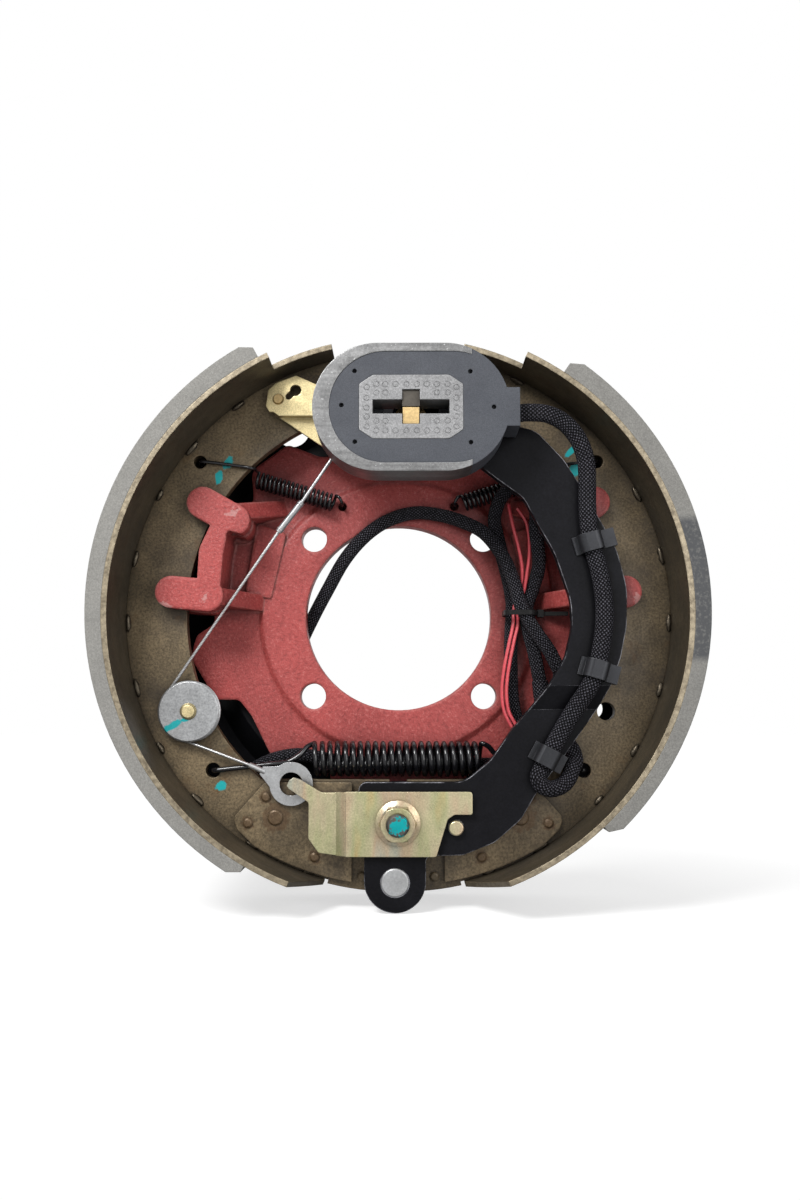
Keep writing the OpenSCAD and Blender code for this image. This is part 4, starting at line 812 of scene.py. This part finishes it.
# Operators
class BRAKE_OT_stage(Operator):
    """Camera, pale floor, soft lamps and white background"""
    bl_idname = "brake.stage"
    bl_label = "Stage and light"

    def execute(self, context):
        light = context.scene.brake_light
        camera = bpy.data.cameras.new("Camera")
        camera.sensor_width = 36.0
        camera.lens = light.lens
        camera.clip_start = 0.02
        holder = bpy.data.objects.new("Camera", camera)
        holder.location = CAMERA_AT
        holder.rotation_euler = Vector(CAMERA_LOOKS).to_track_quat("-Z", "Y").to_euler()
        context.scene.collection.objects.link(holder)
        context.scene.camera = holder
        self.lamp(context, "Key lamp", (-0.45, -0.8, 0.7), 0.4, light.key)
        self.lamp(context, "Fill lamp", (0.55, -0.8, 0.15), 0.6, light.fill)
        self.floor(context)
        self.world(context)
        context.scene.view_settings.view_transform = "Standard"
        return {"FINISHED"}

    def lamp(self, context, name, at, size, power):
        data = bpy.data.lights.new(name, "AREA")
        data.size = size
        data.energy = power
        lamp = bpy.data.objects.new(name, data)
        lamp.location = at
        lamp.rotation_euler = (Vector(LAMPS_FACE) - Vector(at)).to_track_quat("-Z", "Y").to_euler()
        context.scene.collection.objects.link(lamp)

    def floor(self, context):
        """A floor that takes the brake's shadow near it and is white to the camera further out."""
        gap, reach = 0.0005, 3.0
        low = CAD_BOX[0][2] - gap
        mesh = bpy.data.meshes.new("Floor")
        corners = [(-reach, -reach, low), (reach, -reach, low), (reach, reach, low), (-reach, reach, low)]
        mesh.from_pydata(corners, [], [(0, 1, 2, 3)])
        floor = bpy.data.objects.new("Floor", mesh)
        context.scene.collection.objects.link(floor)
        material, tree, shader = new_material("Pale floor")
        shader.inputs["Roughness"].default_value = 0.9
        shader.inputs["Specular IOR Level"].default_value = 0.1
        seen = add(tree, "ShaderNodeLightPath").outputs["Is Camera Ray"]
        away = measure(tree, "DISTANCE", own_coords(tree), (LAMPS_FACE[0], LAMPS_FACE[1], low))
        fade = spread(tree, away, 0.16, 0.34)
        far = times(tree, fade, seen)
        tree.links.new(mix(tree, far, (0.5, 0.5, 0.5, 1), (0, 0, 0, 1)), shader.inputs["Base Color"])
        glow = spread(tree, fade, 0.0, 1.0, 0.62, 1.0)
        shader.inputs["Emission Color"].default_value = (1, 1, 1, 1)
        tree.links.new(times(tree, glow, seen), shader.inputs["Emission Strength"])
        mesh.materials.append(material)

    def world(self, context):
        """White behind the brake and in its reflections, and a softer light on it."""
        world = bpy.data.worlds.new("Studio")
        context.scene.world = world
        world.use_nodes = True
        tree = world.node_tree
        back = tree.nodes["Background"]
        path = add(tree, "ShaderNodeLightPath").outputs
        direct = math_node(tree, "MAXIMUM", path["Is Camera Ray"], path["Is Transmission Ray"])
        soft = spread(tree, direct, 0.0, 1.0, 0.36, 1.0)
        glossy = math_node(tree, "MAXIMUM", soft, path["Is Glossy Ray"])
        tree.links.new(glossy, back.inputs["Strength"])
        back.inputs["Color"].default_value = (1, 1, 1, 1)


class BRAKE_OT_solids(Operator):
    """Paint, plating and friction material on all the solids that stay as they are"""
    bl_idname = "brake.solids"
    bl_label = "Finish the solids"

    def execute(self, context):
        for part in frame["record"]["subparts"]:
            node = part["node"]
            if node not in NODES or part["material_slot"] == "sleeve":
                continue
            wear(NODES[node], part["material_slot"], OWN_LOOK.get(node))
        return {"FINISHED"}


class BRAKE_OT_springs(Operator):
    """Coil springs with their hooked ends"""
    bl_idname = "brake.springs"
    bl_label = "Coil springs"

    def execute(self, context):
        size = context.scene.brake_springs
        self.adjuster(size)
        for name, side, shoe in SIDES:
            self.retractor(size, name, side, shoe)
        self.magnet()
        return {"FINISHED"}

    def adjuster(self, size):
        """The big spring, in two halves that meet over the anchor."""
        wire = size.big_wire
        radius = (BIG_SPRING_ACROSS * MM - wire) / 2
        half = size.big_turns // 2
        middle = place(0, *BIG_SPRING_AXIS)
        for name, side, shoe in SIDES:
            tip = place(side * BIG_SPRING_HALF, *BIG_SPRING_AXIS)
            coil = helix(middle, tip, radius, half, 28)
            hook = smooth_route([coil[-3], coil[-1]] + places(BIG_HOOKS[side], side), 8)[8:]
            path = coil[:-1] + hook
            piece = tube("adjuster_spring_" + name, path, wire / 2, wire / 2, "spring_paint", 12)
            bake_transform(piece)
            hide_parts("adjuster_spring")

    def retractor(self, size, name, side, shoe):
        """A spring from a shoe's web to the anchor's side."""
        wire = size.small_wire
        radius = (RETRACTOR_ACROSS * MM - wire) / 2
        outer, inner = places(RETRACTOR_ENDS, side)
        coil = helix(outer, inner, radius, size.small_turns, 20)
        hook = smooth_route(places(RETRACTOR_HOOK, side) + [coil[0], coil[2]], 8)[:-8]
        eye = smooth_route([coil[-3], coil[-1]] + places(RETRACTOR_EYE, side), 8)[8:]
        path = hook[:-1] + coil[1:-1] + eye
        piece = tube("retractor_wire_" + name, path, wire / 2, wire / 2, "spring_paint", 10)
        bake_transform(piece)
        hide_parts("retractor_spring_" + name)

    def magnet(self):
        """The spring that presses the magnet towards the drum."""
        start, end = places(MAGNET_COIL_ENDS)
        wire = MAGNET_COIL_WIRE * MM
        path = helix(start, end, (MAGNET_COIL_ACROSS * MM - wire) / 2, MAGNET_COIL_TURNS, 20)
        piece = tube("magnet_coil", path, wire / 2, wire / 2, "spring_paint", 10)
        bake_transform(piece)
        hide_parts("magnet_spring")


class BRAKE_OT_leads(Operator):
    """Sleeved lead with its tied bundle, and the red spare wires"""
    bl_idname = "brake.leads"
    bl_label = "Leads"

    def execute(self, context):
        lead = context.scene.brake_lead
        arm = self.sleeve("sleeve_on_arm", ARM_LEAD, lead.width, ARM_SLEEVE_HEIGHT * MM, "arm_lead", 32)
        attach(arm, "lever_arm")
        self.declare(arm, ARM_LEAD, lead.width, "object", "taut")
        folded = LOOP_WIDTH * MM
        loop = self.sleeve("sleeve_loop", LEAD_LOOP, folded, LOOP_HEIGHT * MM, "lead_loop", 28)
        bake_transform(loop)
        self.declare(loop, LEAD_LOOP, folded, "object", "loose")
        for name, route, node in (("sleeve_hank", LEAD_HANK, "lead_hank"),
                                  ("sleeve_tail", LEAD_TAIL, "lead_tail"),
                                  ("sleeve_low", LOWER_LEAD, "lower_lead")):
            piece = self.sleeve(name, route, lead.strand, BUNDLE_HEIGHT * MM, node, 28)
            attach(piece, "root")
            if node == "lead_tail":
                self.declare(piece, route, lead.strand, "fitting", "hanging", [NODES["wire_terminals"]])
            else:
                self.declare(piece, route, lead.strand, "object", "loose")
        wire = RED_WIRE * MM
        for name, route, node in (("red_wire_a", RED_INNER, "red_wire_inner"),
                                  ("red_wire_b", RED_OUTER, "red_wire_outer")):
            piece = tube(name, smooth_route(places(route), 6), wire / 2, wire / 2, "red_insulation", 12)
            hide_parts(node)
            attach(piece, "root")
            self.declare(piece, route, wire, "object", "loose")
        return {"FINISHED"}

    def sleeve(self, name, route, width, height, node, sides):
        """A flattened tube of braid in place of a node of the lead."""
        piece = tube(name, smooth_route(places(route), 8), width / 2, height / 2, "sleeve", sides)
        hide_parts(node)
        return piece

    def declare(self, piece, route, width, far_end, lay, with_pieces=()):
        """Does nothing."""


class BRAKE_OT_details(Operator):
    """Weld beads between tables and webs, rings stamped in the pole, and the cable's crimps"""
    bl_idname = "brake.details"
    bl_label = "Welds, rings and crimps"

    def execute(self, context):
        chance = random.Random(12)
        for name, side, shoe in reversed(SIDES):
            points, faces = [], []
            for angle in WELD_ANGLES[side]:
                self.bead(points, faces, math.radians(angle), side, chance)
            beads = new_piece("weld_beads_" + name, points, faces, "shoe_steel", look="weld")
            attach(beads, shoe)
        points, faces = [], []
        for z, row in RING_ROWS:
            for x in row:
                self.ring(points, faces, place(MAGNET_X + x, POLE_FACE, MAGNET_Z + z))
        rings = new_piece("pole_rings", points, faces, "pole_steel")
        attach(rings, "magnet")
        self.crimps()
        return {"FINISHED"}

    def crimps(self):
        """Two collars, one by each end of the cable's ferrule."""
        foot, head = places(FERRULE_ENDS)
        radius = CRIMP_ACROSS * MM / 2
        for name, share in CRIMP_STARTS.items():
            low, high = (foot.lerp(head, at) for at in (share, share + CRIMP_SHARE))
            path = [low.lerp(high, at) for at in (0, 0.3, 0.7, 1)]
            collar = tube(name, path, radius, radius, "bright_zinc", 24)
            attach(collar, "secondary_shoe")

    def bead(self, points, faces, angle, side, chance):
        """A lumpy oval bead in the corner between a web and its table."""
        first = len(points)
        long, wide, high = BEAD_HALVES
        long *= chance.uniform(0.75, 1.2)
        x, z = SHOE_MIDDLE
        out = Vector((math.cos(angle), 0, math.sin(angle)))
        run = Vector((-math.sin(angle), 0, math.cos(angle)))
        up = Vector((0, -1, 0))
        centre = Vector((side * x, 0, z)) + WELD_RADIUS * out + WELD_DEPTH * up
        rows, cols = 7, 12
        for i in range(rows):
            t = math.pi * (i + 0.5) / rows
            for k in range(cols):
                u = 2 * math.pi * k / cols
                lump = math.sin(t) * (1 + chance.uniform(-0.24, 0.24))
                rim = out * (wide * math.cos(u)) + up * (high * math.sin(u))
                points.append((centre + run * (long * math.cos(t)) + rim * lump) * MM)
        for i in range(rows - 1):
            for k in range(cols):
                b = first + i * cols
                faces.append((b + k, b + cols + k, b + cols + (k + 1) % cols, b + (k + 1) % cols))
        faces.append(tuple(first + k for k in range(cols)))
        faces.append(tuple(first + (rows - 1) * cols + k for k in reversed(range(cols))))

    def ring(self, points, faces, at):
        """A small raised ring on the pole's face."""
        first = len(points)
        rounds, sides = 16, 6
        radius, half_rim, proud = (length * MM for length in RING_SIZES)
        for i in range(rounds):
            a = 2 * math.pi * i / rounds
            for k in range(sides):
                u = 2 * math.pi * k / sides
                r = radius + half_rim * math.cos(u)
                points.append(at + Vector((r * math.cos(a), -proud * math.sin(u), r * math.sin(a))))
        for i in range(rounds):
            for k in range(sides):
                a, b = first + i * sides, first + (i + 1) % rounds * sides
                faces.append((a + k, b + k, b + (k + 1) % sides, a + (k + 1) % sides))


class BRAKE_PT_panel(Panel):
    """Steps that dress the brake"""
    bl_label = "Drum brake"
    bl_idname = "BRAKE_PT_panel"
    bl_space_type = "VIEW_3D"
    bl_region_type = "UI"
    bl_category = "Brake"

    def draw(self, context):
        for step in STEPS:
            self.layout.operator(step.bl_idname)
        for name in ("brake_paint", "brake_springs", "brake_lead", "brake_light"):
            settings = getattr(context.scene, name)
            for prop in settings.bl_rna.properties:
                if prop.identifier not in ("rna_type", "name"):
                    self.layout.prop(settings, prop.identifier)


STEPS = [BRAKE_OT_stage, BRAKE_OT_solids, BRAKE_OT_springs, BRAKE_OT_leads, BRAKE_OT_details]
SETTINGS = {"brake_paint": BrakePaint, "brake_springs": BrakeSprings, "brake_lead": BrakeLead,
            "brake_light": BrakeLight}


def register():
    for kind in list(SETTINGS.values()) + STEPS + [BRAKE_PT_panel]:
        bpy.utils.register_class(kind)
    for name, kind in SETTINGS.items():
        setattr(bpy.types.Scene, name, PointerProperty(type=kind))


def unregister():
    for name in SETTINGS:
        delattr(bpy.types.Scene, name)
    for kind in reversed(list(SETTINGS.values()) + STEPS + [BRAKE_PT_panel]):
        bpy.utils.unregister_class(kind)


def main():
    register()
    bpy.ops.brake.stage()
    bpy.ops.brake.solids()
    bpy.ops.brake.springs()
    bpy.ops.brake.leads()
    bpy.ops.brake.details()


if __name__ == "__main__":
    main()
